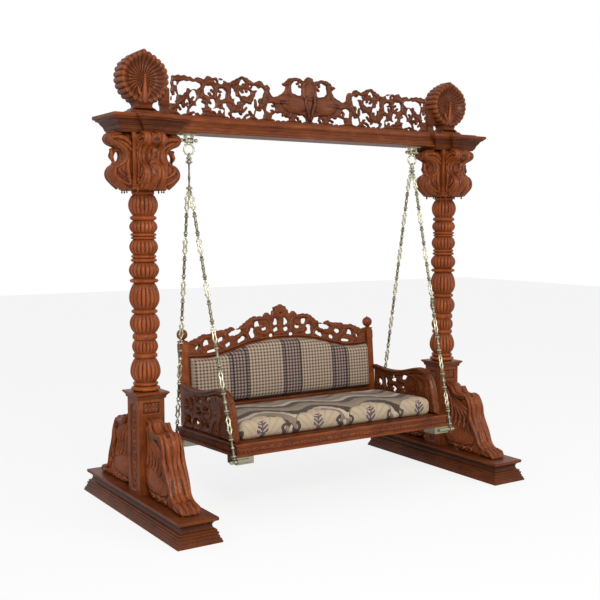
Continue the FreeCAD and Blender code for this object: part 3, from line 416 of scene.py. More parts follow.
# Polygons of a grid cell by which of its corners are solid: a, b, c, d are corners, ab, bc, cd, da cut its edges
CELL_CASES = {
    1: ["a ab da"], 2: ["b bc ab"], 3: ["a b bc da"], 4: ["c cd bc"], 5: ["a ab da", "c cd bc"],
    6: ["b c cd ab"], 7: ["a b c cd da"], 8: ["d da cd"], 9: ["a ab cd d"], 10: ["b bc ab", "d da cd"],
    11: ["a b bc cd d"], 12: ["c d da bc"], 13: ["a ab bc c d"], 14: ["b c d da ab"], 15: ["a b c d"],
}


def softened(points, rounds=2, closed=True):
    """Round a drawn outline by cutting its corners."""
    points = np.array(points, float)
    for _ in range(rounds):
        after = np.roll(points, -1, axis=0)
        first = points * 0.78 + after * 0.22
        second = points * 0.22 + after * 0.78
        cut = np.empty((2 * len(points), 2))
        cut[0::2] = first
        cut[1::2] = second
        if closed:
            points = cut
        else:
            points = np.concatenate([points[:1], cut[1:-2], points[-1:]])
    return points


def smooth_step(value):
    value = np.clip(value, 0.0, 1.0)
    return value * value * (3.0 - 2.0 * value)


def round_over(distance, radius):
    """Height, from 0 to 1, of a quarter-round edge at a distance in from it."""
    share = np.clip(distance / radius, 0.0, 1.0)
    return np.sqrt(np.clip(1.0 - (1.0 - share) ** 2, 0.0, 1.0))


def widened(hole, factor):
    """A hole's outline, drawn larger round its middle."""
    middle = np.mean(hole, 0)
    return [tuple(middle + factor * (np.array(spot) - middle)) for spot in hole]


def with_mirror(outline):
    """A right-hand outline and its mirror image, as one closed outline."""
    return list(outline) + [(-a, b) for a, b in reversed(outline) if a > 0]


def cutting_step():
    """Size of the carving grid in millimetres."""
    return bpy.context.scene.jhoola_carving.step / MM


def outline_distance(across, up, corners):
    """Distance from a closed outline, positive inside."""
    corners = np.array(corners, float)
    near = np.full(across.shape, 1e12)
    odd = np.zeros(across.shape, bool)
    for (a0, b0), (a1, b1) in zip(corners, np.roll(corners, -1, axis=0)):
        da, db = a1 - a0, b1 - b0
        share = np.clip(((across - a0) * da + (up - b0) * db) / (da * da + db * db + 1e-12), 0.0, 1.0)
        near = np.minimum(near, (across - a0 - share * da) ** 2 + (up - b0 - share * db) ** 2)
        crosses = (b0 > up) != (b1 > up)
        odd ^= crosses & (across < a0 + (up - b0) * da / (db if abs(db) > 1e-12 else 1e-12))
    return np.where(odd, 1.0, -1.0) * np.sqrt(near)


def blurred(field, reach):
    """Average of a field over a square of cells."""
    for axis in (0, 1):
        padded = np.pad(field, [(reach + 1, reach) if a == axis else (0, 0) for a in (0, 1)], mode="edge")
        total = np.cumsum(padded, axis=axis)
        span = 2 * reach + 1
        high = np.take(total, range(span, total.shape[axis]), axis=axis)
        low = np.take(total, range(0, total.shape[axis] - span), axis=axis)
        field = (high - low) / span
    return field


class Carving:
    """A board drawn on a grid: where it is solid, and how high its face stands."""

    def __init__(self, low, high, step):
        self.step = step
        self.a = np.arange(low[0] - 1.5 * step, high[0] + 2.5 * step, step)
        self.b = np.arange(low[1] - 1.5 * step, high[1] + 2.5 * step, step)
        self.across, self.up = np.meshgrid(self.a, self.b, indexing="ij")
        self.inside = np.full(self.across.shape, -2.0 * step)
        self.relief = np.zeros(self.across.shape)

    def window(self, points, margin):
        points = np.array(points, float)
        low, high = points.min(0) - margin, points.max(0) + margin
        rows = slice(*np.searchsorted(self.a, [low[0], high[0]]))
        columns = slice(*np.searchsorted(self.b, [low[1], high[1]]))
        return rows, columns

    def board(self, outline):
        self.inside = np.maximum(self.inside, outline_distance(self.across, self.up, outline))
        return self

    def pierce(self, hole, margin=22.0):
        cells = self.window(hole, margin)
        gap = outline_distance(self.across[cells], self.up[cells], hole)
        self.inside[cells] = np.minimum(self.inside[cells], -gap)
        return self

    def near_line(self, line, widths):
        """The cells round a softened line, how deep each lies inside the line's half width, and that width."""
        line = softened(line, closed=False) if len(line) > 2 else np.array(line, float)
        cells = self.window(line, max(widths) + 2 * self.step)
        across, up = self.across[cells], self.up[cells]
        best = np.full(across.shape, -1e9)
        width = np.ones(across.shape)
        widths = np.interp(np.linspace(0, 1, len(line)), np.linspace(0, 1, len(widths)), widths)
        for index in range(len(line) - 1):
            (a0, b0), (a1, b1) = line[index], line[index + 1]
            da, db = a1 - a0, b1 - b0
            length = math.hypot(da, db) + 1e-9
            share = np.clip(((across - a0) * da + (up - b0) * db) / length ** 2, 0.0, 1.0)
            here = widths[index] + (widths[index + 1] - widths[index]) * share
            depth = here - np.hypot(across - a0 - share * da, up - b0 - share * db)
            closer = depth > best
            best = np.where(closer, depth, best)
            width = np.where(closer, here, width)
        return cells, best, np.maximum(width, 0.1)

    def rib(self, line, widths, rise, solid=False, base=0.0):
        """A rounded rib along a line; where solid, it also adds to the board."""
        cells, depth, width = self.near_line(line, widths)
        height = base + rise * round_over(depth, width)
        self.relief[cells] = np.where(depth > 0, np.maximum(self.relief[cells], height), self.relief[cells])
        if solid:
            self.inside[cells] = np.maximum(self.inside[cells], depth)
        return self

    def leaf_tips(self, holes, draw, reach=0.5, width=5.0):
        """Small curled leaf ends that grow from the edges of holes into them."""
        for hole in holes:
            hole = np.array(hole, float)
            centre = hole.mean(0)
            span = np.linalg.norm(hole - centre, axis=1).max()
            if span < 13.0:
                continue
            first = draw.randrange(len(hole))
            for turn in range(1 if span < 24.0 else 2):
                root = hole[(first + turn * 2) % len(hole)]
                inward = centre - root
                side = np.array([-inward[1], inward[0]]) * draw.choice((-1, 1)) * 0.35
                tip = root + inward * reach * draw.uniform(0.8, 1.2)
                line = [root - inward * 0.25, root + inward * reach * 0.5 + side * 0.35, tip + side * 0.9]
                self.rib([tuple(spot) for spot in line], [width, width, width * 0.45], 3.6, solid=True)
        return self

    def groove(self, line, widths, depth_cut):
        """A rounded groove along a line."""
        cells, depth, width = self.near_line(line, widths)
        self.relief[cells] -= depth_cut * smooth_step(depth / width)
        return self

    def form(self, face, two_sided=True, hollow_reach=3, hollow_depth=3.0, edge_shade=0.0, place=None):
        """Mesh of the board; face turns the inside distance and the relief into the face's height."""
        height = face(np.maximum(self.inside, 0.0), self.relief)
        # Painted shade: recesses of the relief darken through the hollow value, and the edge value darkens a band along
        # the board's outline where it meets other parts
        hollow = np.clip((blurred(self.relief, hollow_reach) - self.relief) / hollow_depth, 0.0, 1.0)
        hollow = np.maximum(hollow, edge_shade * np.exp(-np.maximum(self.inside, 0.0) / (1.2 * self.step)))
        rows, columns = self.inside.shape
        total = rows * columns
        corners = np.arange(total).reshape(rows, columns)
        solid = self.inside > 0.0
        case = solid[:-1, :-1] * 1 + solid[1:, :-1] * 2 + solid[1:, 1:] * 4 + solid[:-1, 1:] * 8
        numbers = {
            "a": corners[:-1, :-1], "b": corners[1:, :-1], "c": corners[1:, 1:], "d": corners[:-1, 1:],
            "ab": total + corners[:-1, :-1], "cd": total + corners[:-1, 1:],
            "da": 2 * total + corners[:-1, :-1], "bc": 2 * total + corners[1:, :-1],
        }
        polygons, rims = [], []
        for kind, outlines in CELL_CASES.items():
            cells = case == kind
            if not cells.any():
                continue
            for spots in (outline.split() for outline in outlines):
                polygons.append(np.stack([numbers[spot][cells] for spot in spots], axis=1))
                for first, second in zip(spots, spots[1:] + spots[:1]):
                    if len(first) == 2 and len(second) == 2:
                        rims.append(np.stack([numbers[first][cells], numbers[second][cells]], axis=1))
        used = np.unique(np.concatenate([polygon.ravel() for polygon in polygons]))
        number = np.full(3 * total, -1)
        number[used] = np.arange(len(used))
        points = np.zeros((len(used), 3))
        tone = np.zeros(len(used))
        inside, tones = self.inside.ravel(), hollow.ravel()
        axes = (self.across.ravel(), self.up.ravel(), height.ravel())
        at_corner = used < total
        points[at_corner] = np.stack(axes, axis=1)[used[at_corner]]
        tone[at_corner] = tones[used[at_corner]]
        at_row, at_column = (used >= total) & (used < 2 * total), used >= 2 * total
        for chosen, offset, stride in ((at_row, total, columns), (at_column, 2 * total, 1)):
            first = used[chosen] - offset
            second = first + stride
            share = inside[first] / (inside[first] - inside[second])
            for axis, values in enumerate(axes):
                points[chosen, axis] = values[first] + share * (values[second] - values[first])
            tone[chosen] = np.maximum(tones[first], tones[second])
        faces = [face for polygon in polygons for face in number[polygon].tolist()]
        if two_sided:
            count = len(points)
            faces.extend([[i + count for i in reversed(face)] for face in list(faces)])
            if rims:
                rim = number[np.concatenate(rims)]
                faces.extend(np.stack([rim[:, 1], rim[:, 0], rim[:, 0] + count, rim[:, 1] + count],
                                      axis=1).tolist())
            points = np.concatenate([points, points * np.array([1.0, 1.0, -1.0])])
            tone = np.concatenate([tone, tone])
        return Form().add(points, faces, tone, place)


def carving_round(outline):
    """An empty carving as large as an outline."""
    return Carving(np.min(outline, 0), np.max(outline, 0), cutting_step())


# A carving's own axes are across, up and out of its face; these set it upright in the object.
FACING_FRONT = Matrix(((1, 0, 0, 0), (0, 0, -1, 0), (0, 1, 0, 0), (0, 0, 0, 1)))
FACING_SIDE = Matrix(((0, 0, 1, 0), (1, 0, 0, 0), (0, 1, 0, 0), (0, 0, 0, 1)))


# ---------------------------------------------------------------------------------------------
# Finishes
# ---------------------------------------------------------------------------------------------

class Finish:
    """Builds one node material step by step."""

    def __init__(self, name):
        self.material = bpy.data.materials.new(name)
        self.material.use_nodes = True
        self.tree = self.material.node_tree
        self.tree.nodes.clear()
        self.out = self.tree.nodes.new("ShaderNodeOutputMaterial")
        self.shader = self.tree.nodes.new("ShaderNodeBsdfPrincipled")
        self.tree.links.new(self.shader.outputs[0], self.out.inputs[0])
        self.spot = self.tree.nodes.new("ShaderNodeTexCoord").outputs["Object"]
        FINISHES[name] = self.material

    def link(self, source, target):
        self.tree.links.new(source, target)
        return source

    def node(self, kind, **settings):
        made = self.tree.nodes.new(kind)
        for key, value in settings.items():
            setattr(made, key, value)
        return made

    def put(self, socket, value):
        if isinstance(value, bpy.types.NodeSocket):
            self.tree.links.new(value, socket)
        else:
            socket.default_value = value

    def math(self, operation, first, second=None, third=None, clamp=False):
        made = self.node("ShaderNodeMath", operation=operation, use_clamp=clamp)
        for socket, value in zip(made.inputs, (first, second, third)):
            if value is not None:
                self.put(socket, value)
        return made.outputs[0]

    def times(self, first, second, clamp=False):
        return self.math("MULTIPLY", first, second, clamp=clamp)

    def plus(self, first, second, clamp=False):
        return self.math("ADD", first, second, clamp=clamp)

    def minus(self, first, second):
        return self.math("SUBTRACT", first, second)

    def over(self, first, second):
        return self.math("DIVIDE", first, second)

    def below(self, first, second):
        return self.math("LESS_THAN", first, second)

    def above(self, first, second):
        return self.math("GREATER_THAN", first, second)

    def most(self, first, second):
        return self.math("MAXIMUM", first, second)

    def squared(self, value, centre, radius):
        """Square of how many radii a value lies from a centre."""
        return self.math("POWER", self.over(self.minus(value, centre), radius), 2.0)

    def stripes(self, value, places):
        """1 where a value lies within any of the places, each a centre and a half width."""
        found = None
        for centre, half in places:
            here = self.below(self.math("ABSOLUTE", self.minus(value, centre)), half)
            found = here if found is None else self.most(found, here)
        return found

    def stretched(self, scale):
        made = self.node("ShaderNodeMapping")
        self.link(self.spot, made.inputs["Vector"])
        made.inputs["Scale"].default_value = scale
        return made.outputs["Vector"]

    def noise(self, vector, scale, detail=3.0, roughness=0.5, distortion=0.0):
        made = self.node("ShaderNodeTexNoise")
        self.link(vector, made.inputs["Vector"])
        made.inputs["Scale"].default_value = scale
        made.inputs["Detail"].default_value = detail
        made.inputs["Roughness"].default_value = roughness
        made.inputs["Distortion"].default_value = distortion
        return made.outputs["Fac"]

    def ramp(self, value, stops, smooth=True):
        made = self.node("ShaderNodeValToRGB")
        band = made.color_ramp
        band.interpolation = "EASE" if smooth else "CONSTANT"
        self.link(value, made.inputs[0])
        band.elements[0].position, band.elements[1].position = stops[0][0], stops[-1][0]
        for position, _ in stops[1:-1]:
            band.elements.new(position)
        for element, (_, colour) in zip(band.elements, stops):
            element.color = tuple(colour) + (1.0,) if len(colour) == 3 else colour
        return made.outputs["Color"]

    def blend(self, share, first, second, mode="MIX"):
        made = self.node("ShaderNodeMix", data_type="RGBA", blend_type=mode)
        self.put(made.inputs[0], share)
        for socket, value in ((made.inputs[6], first), (made.inputs[7], second)):
            if not isinstance(value, bpy.types.NodeSocket) and len(value) == 3:
                value = tuple(value) + (1.0,)
            self.put(socket, value)
        return made.outputs[2]

    def hollow(self):
        made = self.node("ShaderNodeAttribute", attribute_name="hollow")
        return made.outputs["Fac"]

    def bump(self, height, distance, strength=1.0, under=None):
        made = self.node("ShaderNodeBump")
        made.inputs["Strength"].default_value = strength
        made.inputs["Distance"].default_value = distance
        self.link(height, made.inputs["Height"])
        if under is not None:
            self.link(under, made.inputs["Normal"])
        return made.outputs["Normal"]

    def axes(self):
        made = self.node("ShaderNodeSeparateXYZ")
        self.link(self.spot, made.inputs[0])
        return made.outputs[0], made.outputs[1], made.outputs[2]


def polished_teak(name, wood, grain, shade, chisel=0.0):
    """Teak with its grain along one axis, painted shade in the hollows, darker chisel cuts and a clear coat."""
    light, middle, dark, deep = (tuple(shade * v for v in tone)
                                 for tone in (wood.light, wood.middle, wood.dark, wood.hollow))
    finish = Finish(name)
    across = {"x": (5.0, 46.0, 46.0), "y": (46.0, 5.0, 46.0), "z": (46.0, 46.0, 5.0)}[grain]
    fibre = finish.noise(finish.stretched(across), 2.6, 7.0, 0.62, 0.5)
    pores = finish.noise(finish.stretched(tuple(v * 5.0 for v in across)), 3.0, 2.0, 0.6)
    blotch = finish.noise(finish.spot, 9.0, 3.0, 0.6)
    figure = finish.plus(finish.times(fibre, 0.52), finish.times(blotch, 0.48))
    colour = finish.ramp(figure, [(0.33, dark), (0.50, middle), (0.66, light)])
    colour = finish.blend(finish.times(pores, 0.30), colour, dark)
    # Painted shade: the hollow value darkens recesses and creases towards the hollow colour, and the low parts of the
    # chisel cuts are darkened too
    painted_shade_and_cuts = finish.times(finish.hollow(), 0.92, clamp=True)
    if chisel:
        cuts = finish.noise(finish.spot, 75.0, 2.0, 0.6, 0.6)
        low = finish.times(finish.minus(0.47, cuts), 5.0 * chisel, clamp=True)
        painted_shade_and_cuts = finish.most(painted_shade_and_cuts, low)
    colour = finish.blend(painted_shade_and_cuts, colour, deep)
    finish.link(colour, finish.shader.inputs["Base Color"])
    rough = finish.node("ShaderNodeMapRange")
    finish.link(fibre, rough.inputs["Value"])
    rough.inputs["To Min"].default_value = wood.roughness - 0.10
    rough.inputs["To Max"].default_value = wood.roughness + 0.12
    finish.link(rough.outputs[0], finish.shader.inputs["Roughness"])
    finish.shader.inputs["Coat Weight"].default_value = wood.polish * (1.8 if chisel else 1.0)
    finish.shader.inputs["Coat Roughness"].default_value = 0.16
    finish.shader.inputs["Specular IOR Level"].default_value = 0.14
    relief = finish.bump(fibre, 0.0006, 0.5)
    relief = finish.bump(pores, 0.0003, 0.4, relief)
    if chisel:
        relief = finish.bump(cuts, 0.006 * chisel, 1.0, relief)
    finish.link(relief, finish.shader.inputs["Normal"])


def cast_brass(name, brass, shade=1.0):
    """Rubbed cast brass, dull in its hollows."""
    bright, dull = tuple(shade * v for v in brass.bright), brass.dull
    finish = Finish(name)
    cloud = finish.noise(finish.spot, 60.0, 4.0, 0.6)
    dents = finish.noise(finish.spot, 220.0, 2.0, 0.5)
    tarnish = finish.plus(finish.times(cloud, 0.45), finish.hollow(), clamp=True)
    colour = finish.ramp(tarnish, [(0.20, bright), (0.42, tuple(0.66 * v for v in bright)), (0.95, dull)])
    finish.link(colour, finish.shader.inputs["Base Color"])
    finish.shader.inputs["Metallic"].default_value = 1.0
    rough = finish.node("ShaderNodeMapRange")
    finish.link(cloud, rough.inputs["Value"])
    rough.inputs["To Min"].default_value = brass.roughness - 0.08
    rough.inputs["To Max"].default_value = brass.roughness + 0.14
    finish.link(rough.outputs[0], finish.shader.inputs["Roughness"])
    finish.link(finish.bump(dents, 0.0004, 0.5), finish.shader.inputs["Normal"])


def woven_check(name, fabric):
    """Fine beige and brown check with three darker purple bands."""
    finish = Finish(name)
    x, _, z = finish.axes()
    repeat, share = fabric.check_repeat, 0.46

    def stripe(value):
        place = finish.math("FRACT", finish.over(value, repeat))
        return finish.below(place, share)
    column, row = stripe(x), stripe(finish.times(z, 1.12))
    both = finish.times(column, row)
    either = finish.times(finish.plus(column, row), 0.5)
    band = finish.stripes(x, [(centre, 0.060) for centre in (-0.298, 0.026, 0.342)])
    edge = finish.stripes(x, [(centre, 0.008) for centre in (-0.336, -0.253, -0.022, 0.078, 0.299, 0.381)])
    ground = finish.blend(finish.times(band, 0.42), (0.50, 0.40, 0.285), (0.22, 0.13, 0.14))
    ground = finish.blend(finish.times(edge, 0.65), ground, (0.20, 0.13, 0.13))
    middle = finish.blend(finish.times(band, 0.80), (0.33, 0.24, 0.17), (0.075, 0.040, 0.044))
    middle = finish.blend(finish.times(edge, 0.92), middle, (0.020, 0.012, 0.014))
    deep = finish.blend(band, (0.060, 0.030, 0.018), (0.022, 0.012, 0.014))
    colour = finish.blend(finish.above(either, 0.25), ground, middle)
    colour = finish.blend(both, colour, deep)
    weave_fabric(finish, colour, (900.0, 900.0, 900.0))


def weave_fabric(finish, colour, scale):
    """Thread texture, fuzz and bump shared by the two fabrics."""
    place = finish.stretched(scale)
    axes = finish.node("ShaderNodeSeparateXYZ")
    finish.link(place, axes.inputs[0])
    warp = finish.math("SINE", finish.plus(axes.outputs[0], axes.outputs[1]))
    weft = finish.math("SINE", finish.minus(axes.outputs[2], axes.outputs[1]))
    thread = finish.math("MULTIPLY_ADD", finish.times(warp, weft), 0.5, 0.5)
    fuzz = finish.noise(finish.spot, 420.0, 3.0, 0.7)
    cloud = finish.noise(finish.spot, 16.0, 3.0, 0.6)
    shade = finish.math("MULTIPLY_ADD", fuzz, 0.5, 0.62)
    tinted = finish.blend(1.0, colour, finish.ramp(shade, [(0.55, (0.66, 0.66, 0.66)), (1.0, (1.0, 1.0, 1.0))]),
                          "MULTIPLY")
    tinted = finish.blend(finish.times(cloud, 0.16), tinted, (0.10, 0.07, 0.05))
    finish.link(tinted, finish.shader.inputs["Base Color"])
    finish.shader.inputs["Roughness"].default_value = 0.88
    finish.shader.inputs["Sheen Weight"].default_value = 0.05
    finish.shader.inputs["Sheen Roughness"].default_value = 0.5
    relief = finish.bump(thread, 0.0004, 0.6)
    relief = finish.bump(fuzz, 0.0005, 0.5, relief)
    finish.link(relief, finish.shader.inputs["Normal"])


def floral_damask(name, fabric):
    """Beige medallions with purple stalks along the front, and taupe and brown waves behind them."""
    finish = Finish(name)
    x, y, z = finish.axes()
    repeat = fabric.damask_repeat
    wobble = finish.noise(finish.spot, 26.0, 2.0, 0.5)
    ripple = finish.math("MULTIPLY_ADD", wobble, 0.030, -0.015)
    run = finish.plus(finish.plus(finish.minus(z, 0.349), finish.plus(y, 0.317)),
                      ripple)
    drift = finish.plus(x, finish.times(ripple, 0.8))
    turn = finish.minus(finish.over(finish.plus(drift, 0.141), repeat), -0.5)
    local = finish.times(finish.minus(finish.math("FRACT", turn), 0.5), repeat)
    reach = finish.math("ABSOLUTE", local)
    wave = finish.math("SINE", finish.times(drift, 2 * math.pi / repeat))
    slant = finish.math("MULTIPLY_ADD", drift, 0.16, run)
    bands = finish.math("FRACT", finish.over(finish.math("MULTIPLY_ADD", wave, 0.050, slant), 0.46))
    pale, bark, olive = (0.62, 0.51, 0.38), (0.038, 0.021, 0.016), (0.33, 0.26, 0.15)
    field = finish.ramp(bands, [(0.0, bark), (0.07, fabric.taupe), (0.20, pale), (0.28, bark), (0.40, olive),
                                (0.50, fabric.taupe), (0.60, bark), (0.72, pale), (0.80, fabric.taupe), (0.91, olive)],
                        smooth=False)
    field = finish.blend(finish.times(wobble, 0.35), field, fabric.brown)
    lobe = finish.plus(finish.squared(reach, 0.066, 0.067), finish.squared(run, 0.058, 0.080))
    core = finish.plus(finish.squared(reach, 0.0, 0.062), finish.squared(run, 0.090, 0.078))
    oval = finish.math("MINIMUM", lobe, core)
    medallion = finish.below(oval, 1.0)
    rim = finish.times(medallion, finish.above(oval, 0.80))
    colour = finish.blend(medallion, field, fabric.beige)
    colour = finish.blend(finish.times(rim, 0.80), colour, (0.15, 0.09, 0.065))
    veins = finish.math("ARCTAN2", local, finish.plus(run, 0.02))
    veins = finish.math("SINE", finish.times(veins, 22.0))
    veins = finish.times(finish.above(veins, 0.55), medallion)
    colour = finish.blend(finish.times(veins, 0.30), colour, fabric.taupe)
    foot = finish.below(reach, finish.math("MULTIPLY_ADD", run, -0.80, 0.038))
    stem = finish.times(finish.below(reach, 0.0032), finish.below(run, 0.100))
    tier = finish.math("FRACT", finish.over(finish.math("MULTIPLY_ADD", reach, -0.75, run), 0.0225))
    leaves = finish.times(finish.below(tier, 0.58),
                         finish.below(reach, finish.math("MULTIPLY_ADD", run, -0.20, 0.040)))
    leaves = finish.times(leaves, finish.below(run, 0.104))
    leaves = finish.times(leaves, finish.above(run, 0.036))
    plant = finish.most(finish.most(foot, stem), leaves)
    colour = finish.blend(finish.times(plant, 0.90), colour, fabric.purple)
    gap = finish.minus(repeat / 2, reach)
    drop = finish.plus(finish.squared(gap, 0.0, 0.010), finish.squared(run, 0.036, 0.020))
    colour = finish.blend(finish.times(finish.below(drop, 1.0), 0.9), colour, (0.60, 0.52, 0.40))
    ring = finish.math("SQRT", finish.plus(finish.squared(gap, 0.030, 1.0), finish.squared(run, 0.046, 1.0)))
    hook = finish.times(finish.stripes(ring, [(0.018, 0.0075)]), finish.above(gap, 0.027))
    colour = finish.blend(finish.times(hook, 0.92), colour, (0.030, 0.016, 0.020))
    weave_fabric(finish, colour, (700.0, 700.0, 700.0))


def make_finishes():
    """Every finish that the pieces share."""
    scene = bpy.context.scene
    # Painted light and shade: these are copies of one teak, each lightened or darkened by its factor for how the light
    # falls on the pieces that wear it; the turned columns are the lightest, and the pieces with grain along Y, the
    # beam's crest and the arm panels the darkest
    for axis, shade in (("x", 0.66), ("y", 0.52), ("z", 0.88)):
        polished_teak("teak_" + axis, scene.jhoola_wood, axis, shade)
    polished_teak("lit_turned_teak", scene.jhoola_wood, "z", 1.18)
    polished_teak("shaded_pedestal_teak", scene.jhoola_wood, "z", 0.74)
    polished_teak("apron_teak", scene.jhoola_wood, "x", 0.80)
    polished_teak("carved_teak_beam", scene.jhoola_wood, "x", 0.56, 0.5)
    polished_teak("carved_teak", scene.jhoola_wood, "z", 1.0, 0.5)
    polished_teak("carved_teak_across", scene.jhoola_wood, "x", 0.74, 0.6)
    polished_teak("carved_teak_arm", scene.jhoola_wood, "y", 0.58, 0.7)
    cast_brass("brass", scene.jhoola_brass)
    # A darker copy of the brass, for the corner blocks, studs and lug screws
    cast_brass("darker_brass", scene.jhoola_brass, 0.62)
    woven_check("pad_check", scene.jhoola_fabric)
    floral_damask("cushion_damask", scene.jhoola_fabric)


# ---------------------------------------------------------------------------------------------
# The stand
# ---------------------------------------------------------------------------------------------

PLINTH_LINE = curve_line([
    (0.0, 0.0), (0.0, 8.0), (3.0, 9.5), (3.0, 12.5), ((3.5, 18.0), (7.0, 20.0)), (9.5, 21.0), (9.5, 24.0),
    ((10.0, 30.0), (12.0, 32.0)), (14.5, 33.0), (14.5, 37.0), ((9.5, 41.0), (14.0, 45.5)),
    (19.0, 46.5), (19.0, 50.0), ((15.5, 54.0), (21.0, 57.0)), ((34.0, 60.0), (34.5, 74.0)),
    ((34.0, 88.0), (18.0, 94.0)), (13.5, 95.5), (13.0, 98.0), (12.6, 107.0), ((12.6, 110.0), (15.0, 110.0)),
])

PEDESTAL_CAP_LINE = curve_line([
    (15.0, 557.0), (13.0, 559.0), (13.0, 562.0), ((12.0, 572.0), (4.5, 576.0)), (4.5, 578.5), (1.0, 579.5),
    ((-0.5, 583.0), (1.0, 587.0)), (3.0, 588.0),
])

CORNICE_LINE = curve_line([
    (51.0, 1768.0), (51.0, 1773.0), (46.0, 1774.0), (46.0, 1779.0), (43.0, 1780.0), ((40.0, 1790.0), (36.0, 1799.0)),
    (32.0, 1800.0), (32.0, 1805.0), (28.0, 1806.0), ((26.0, 1818.0), (14.0, 1822.0)), (11.0, 1823.0), (11.0, 1828.0),
    (7.0, 1829.0), ((1.0, 1831.0), (0.5, 1837.0)), (0.5, 1845.0), (2.5, 1847.0),
])

BEAM_LINE = curve_line([
    (8.0, 1781.0), (4.0, 1784.0), (4.0, 1790.0), (9.0, 1792.5), (9.0, 1808.0), (5.5, 1810.0), (5.5, 1813.0),
    (9.0, 1815.0), ((10.0, 1821.0), (5.0, 1826.0)), (2.5, 1827.5), (2.5, 1830.0), (0.0, 1832.0), (0.0, 1844.0),
    (2.0, 1847.0),
])


class JHOOLA_OT_plinths(bpy.types.Operator):
    """Two moulded plinths with a deep neck under their lips"""
    bl_idname = "jhoola.plinths"
    bl_label = "Plinths"

    def execute(self, context):
        stand_pair("_plinth", moulding(rectangle(108.0, 553.0), PLINTH_LINE), "teak_y", "_base", sharp=30, bevel=1.2)
        return {"FINISHED"}


def pedestal_board():
    """One flat face of a pedestal, ready to be carved."""
    carving = Carving((-PEDESTAL_HALF, 0.0), (PEDESTAL_HALF, PEDESTAL_TALL), cutting_step() * 0.9)
    return carving.board(rectangle(PEDESTAL_HALF, PEDESTAL_TALL / 2, 0.0, PEDESTAL_TALL / 2))


def pedestal_side():
    """Carved strip of leaves in a raised border, for the outer and inner faces."""
    carving = pedestal_board()
    half, low, high = 40.0, 18.0, 428.0
    inner = [(-half, low), (half, low), (half, high - 36), (26.0, high - 10), (0.0, high), (-26.0, high - 10),
             (-half, high - 36)]
    sunk = outline_distance(carving.across, carving.up, softened(inner, 1))
    carving.relief = 7.0 - 5.5 * smooth_step(sunk / 5.0)
    border = np.abs(sunk + 6.0)
    carving.relief += 1.6 * smooth_step(1.0 - border / 4.0)
    leaf_pairs = 7
    for index in range(leaf_pairs):
        foot = low + 22 + index * (high - low - 60) / leaf_pairs
        for side in (-1, 1):
            carving.rib([(0.0, foot), (side * 14.0, foot + 8), (side * 26.0, foot + 26), (side * 18.0, foot + 40)],
                        [5.5, 6.5, 5.0, 2.5], 4.6, base=1.2)
            carving.rib([(side * 4.0, foot + 26), (side * 12.0, foot + 34), (side * 9.0, foot + 48)],
                        [4.0, 4.5, 2.0], 4.2, base=1.2)
        carving.rib([(0.0, foot - 4), (0.0, foot + 50)], [3.4, 2.4], 4.8, base=1.2)
    return carving.form(lambda inside, relief: relief, two_sided=False, hollow_depth=2.2)


def pedestal_front():
    """Plain face with a small sunk square of carving near its top."""
    carving = pedestal_board()
    carving.relief += 7.0
    sunk = outline_distance(carving.across, carving.up, [(-42, 378), (42, 378), (42, 432), (-42, 432)])
    carving.relief -= 4.5 * smooth_step(sunk / 4.0)
    carving.relief += 1.2 * smooth_step(1.0 - np.abs(sunk + 4.0) / 3.0)
    for column in (-27, -9, 9, 27):
        for row in (392, 418):
            for petal in range(4):
                turn = math.pi / 4 + petal * math.pi / 2
                carving.rib([(column, row), (column + 8 * math.cos(turn), row + 9 * math.sin(turn))], [3.4, 2.0],
                            3.6, base=2.2)
    return carving.form(lambda inside, relief: relief, two_sided=False, hollow_depth=2.2)


class JHOOLA_OT_pedestals(bpy.types.Operator):
    """Two square pedestals with carved faces, and their moulded caps"""
    bl_idname = "jhoola.pedestals"
    bl_label = "Pedestals"

    def execute(self, context):
        carved, plain = pedestal_side(), pedestal_front()
        block = Form()
        for turn, face in ((0, plain), (90, carved), (180, plain), (270, carved)):
            place = (Matrix.Rotation(math.radians(turn), 4, "Z") @ at(0, -57.5, PLINTH_TOP) @ FACING_FRONT)
            block.join(face, place)
        block.join(moulding(rectangle(56.0, 56.0), [(0, 110.5), (0, 556.5)]))
        cap = moulding(rectangle(84.0, 84.0), PEDESTAL_CAP_LINE)
        for side, sign in SIDES:
            place = on_column(sign)
            finished_piece(side + "_carved_pedestal", block, "shaded_pedestal_teak", "stand", "wood", [side + "_pedestal"],
                           place)
            finished_piece(side + "_moulded_cap", cap, "teak_x", "stand", "wood", [side + "_pedestal_cap"], place,
                           sharp=30, bevel=1.0)
        return {"FINISHED"}


# Turned column from its foot up: kind, share of the column's height, share of the bulb's radius
COLUMN_TURNING = [
    ("ring", 0.028, 0.97), ("ring", 0.020, 0.84), ("vase", 0.119, 1.00), ("ring", 0.026, 0.81),
    ("bulb", 0.065, 0.86), ("ring", 0.035, 0.82), ("bulb", 0.098, 0.99), ("ring", 0.023, 0.86),
    ("vase", 0.130, 1.00), ("ring", 0.024, 0.95), ("bulb", 0.080, 0.99), ("ring", 0.020, 0.86),
    ("ring", 0.017, 0.83), ("bulb", 0.076, 0.94), ("ring", 0.015, 0.83), ("ring", 0.017, 0.86),
    ("bulb", 0.061, 0.92), ("ring", 0.026, 0.87), ("bulb", 0.102, 0.97), ("ring", 0.018, 0.74),
]


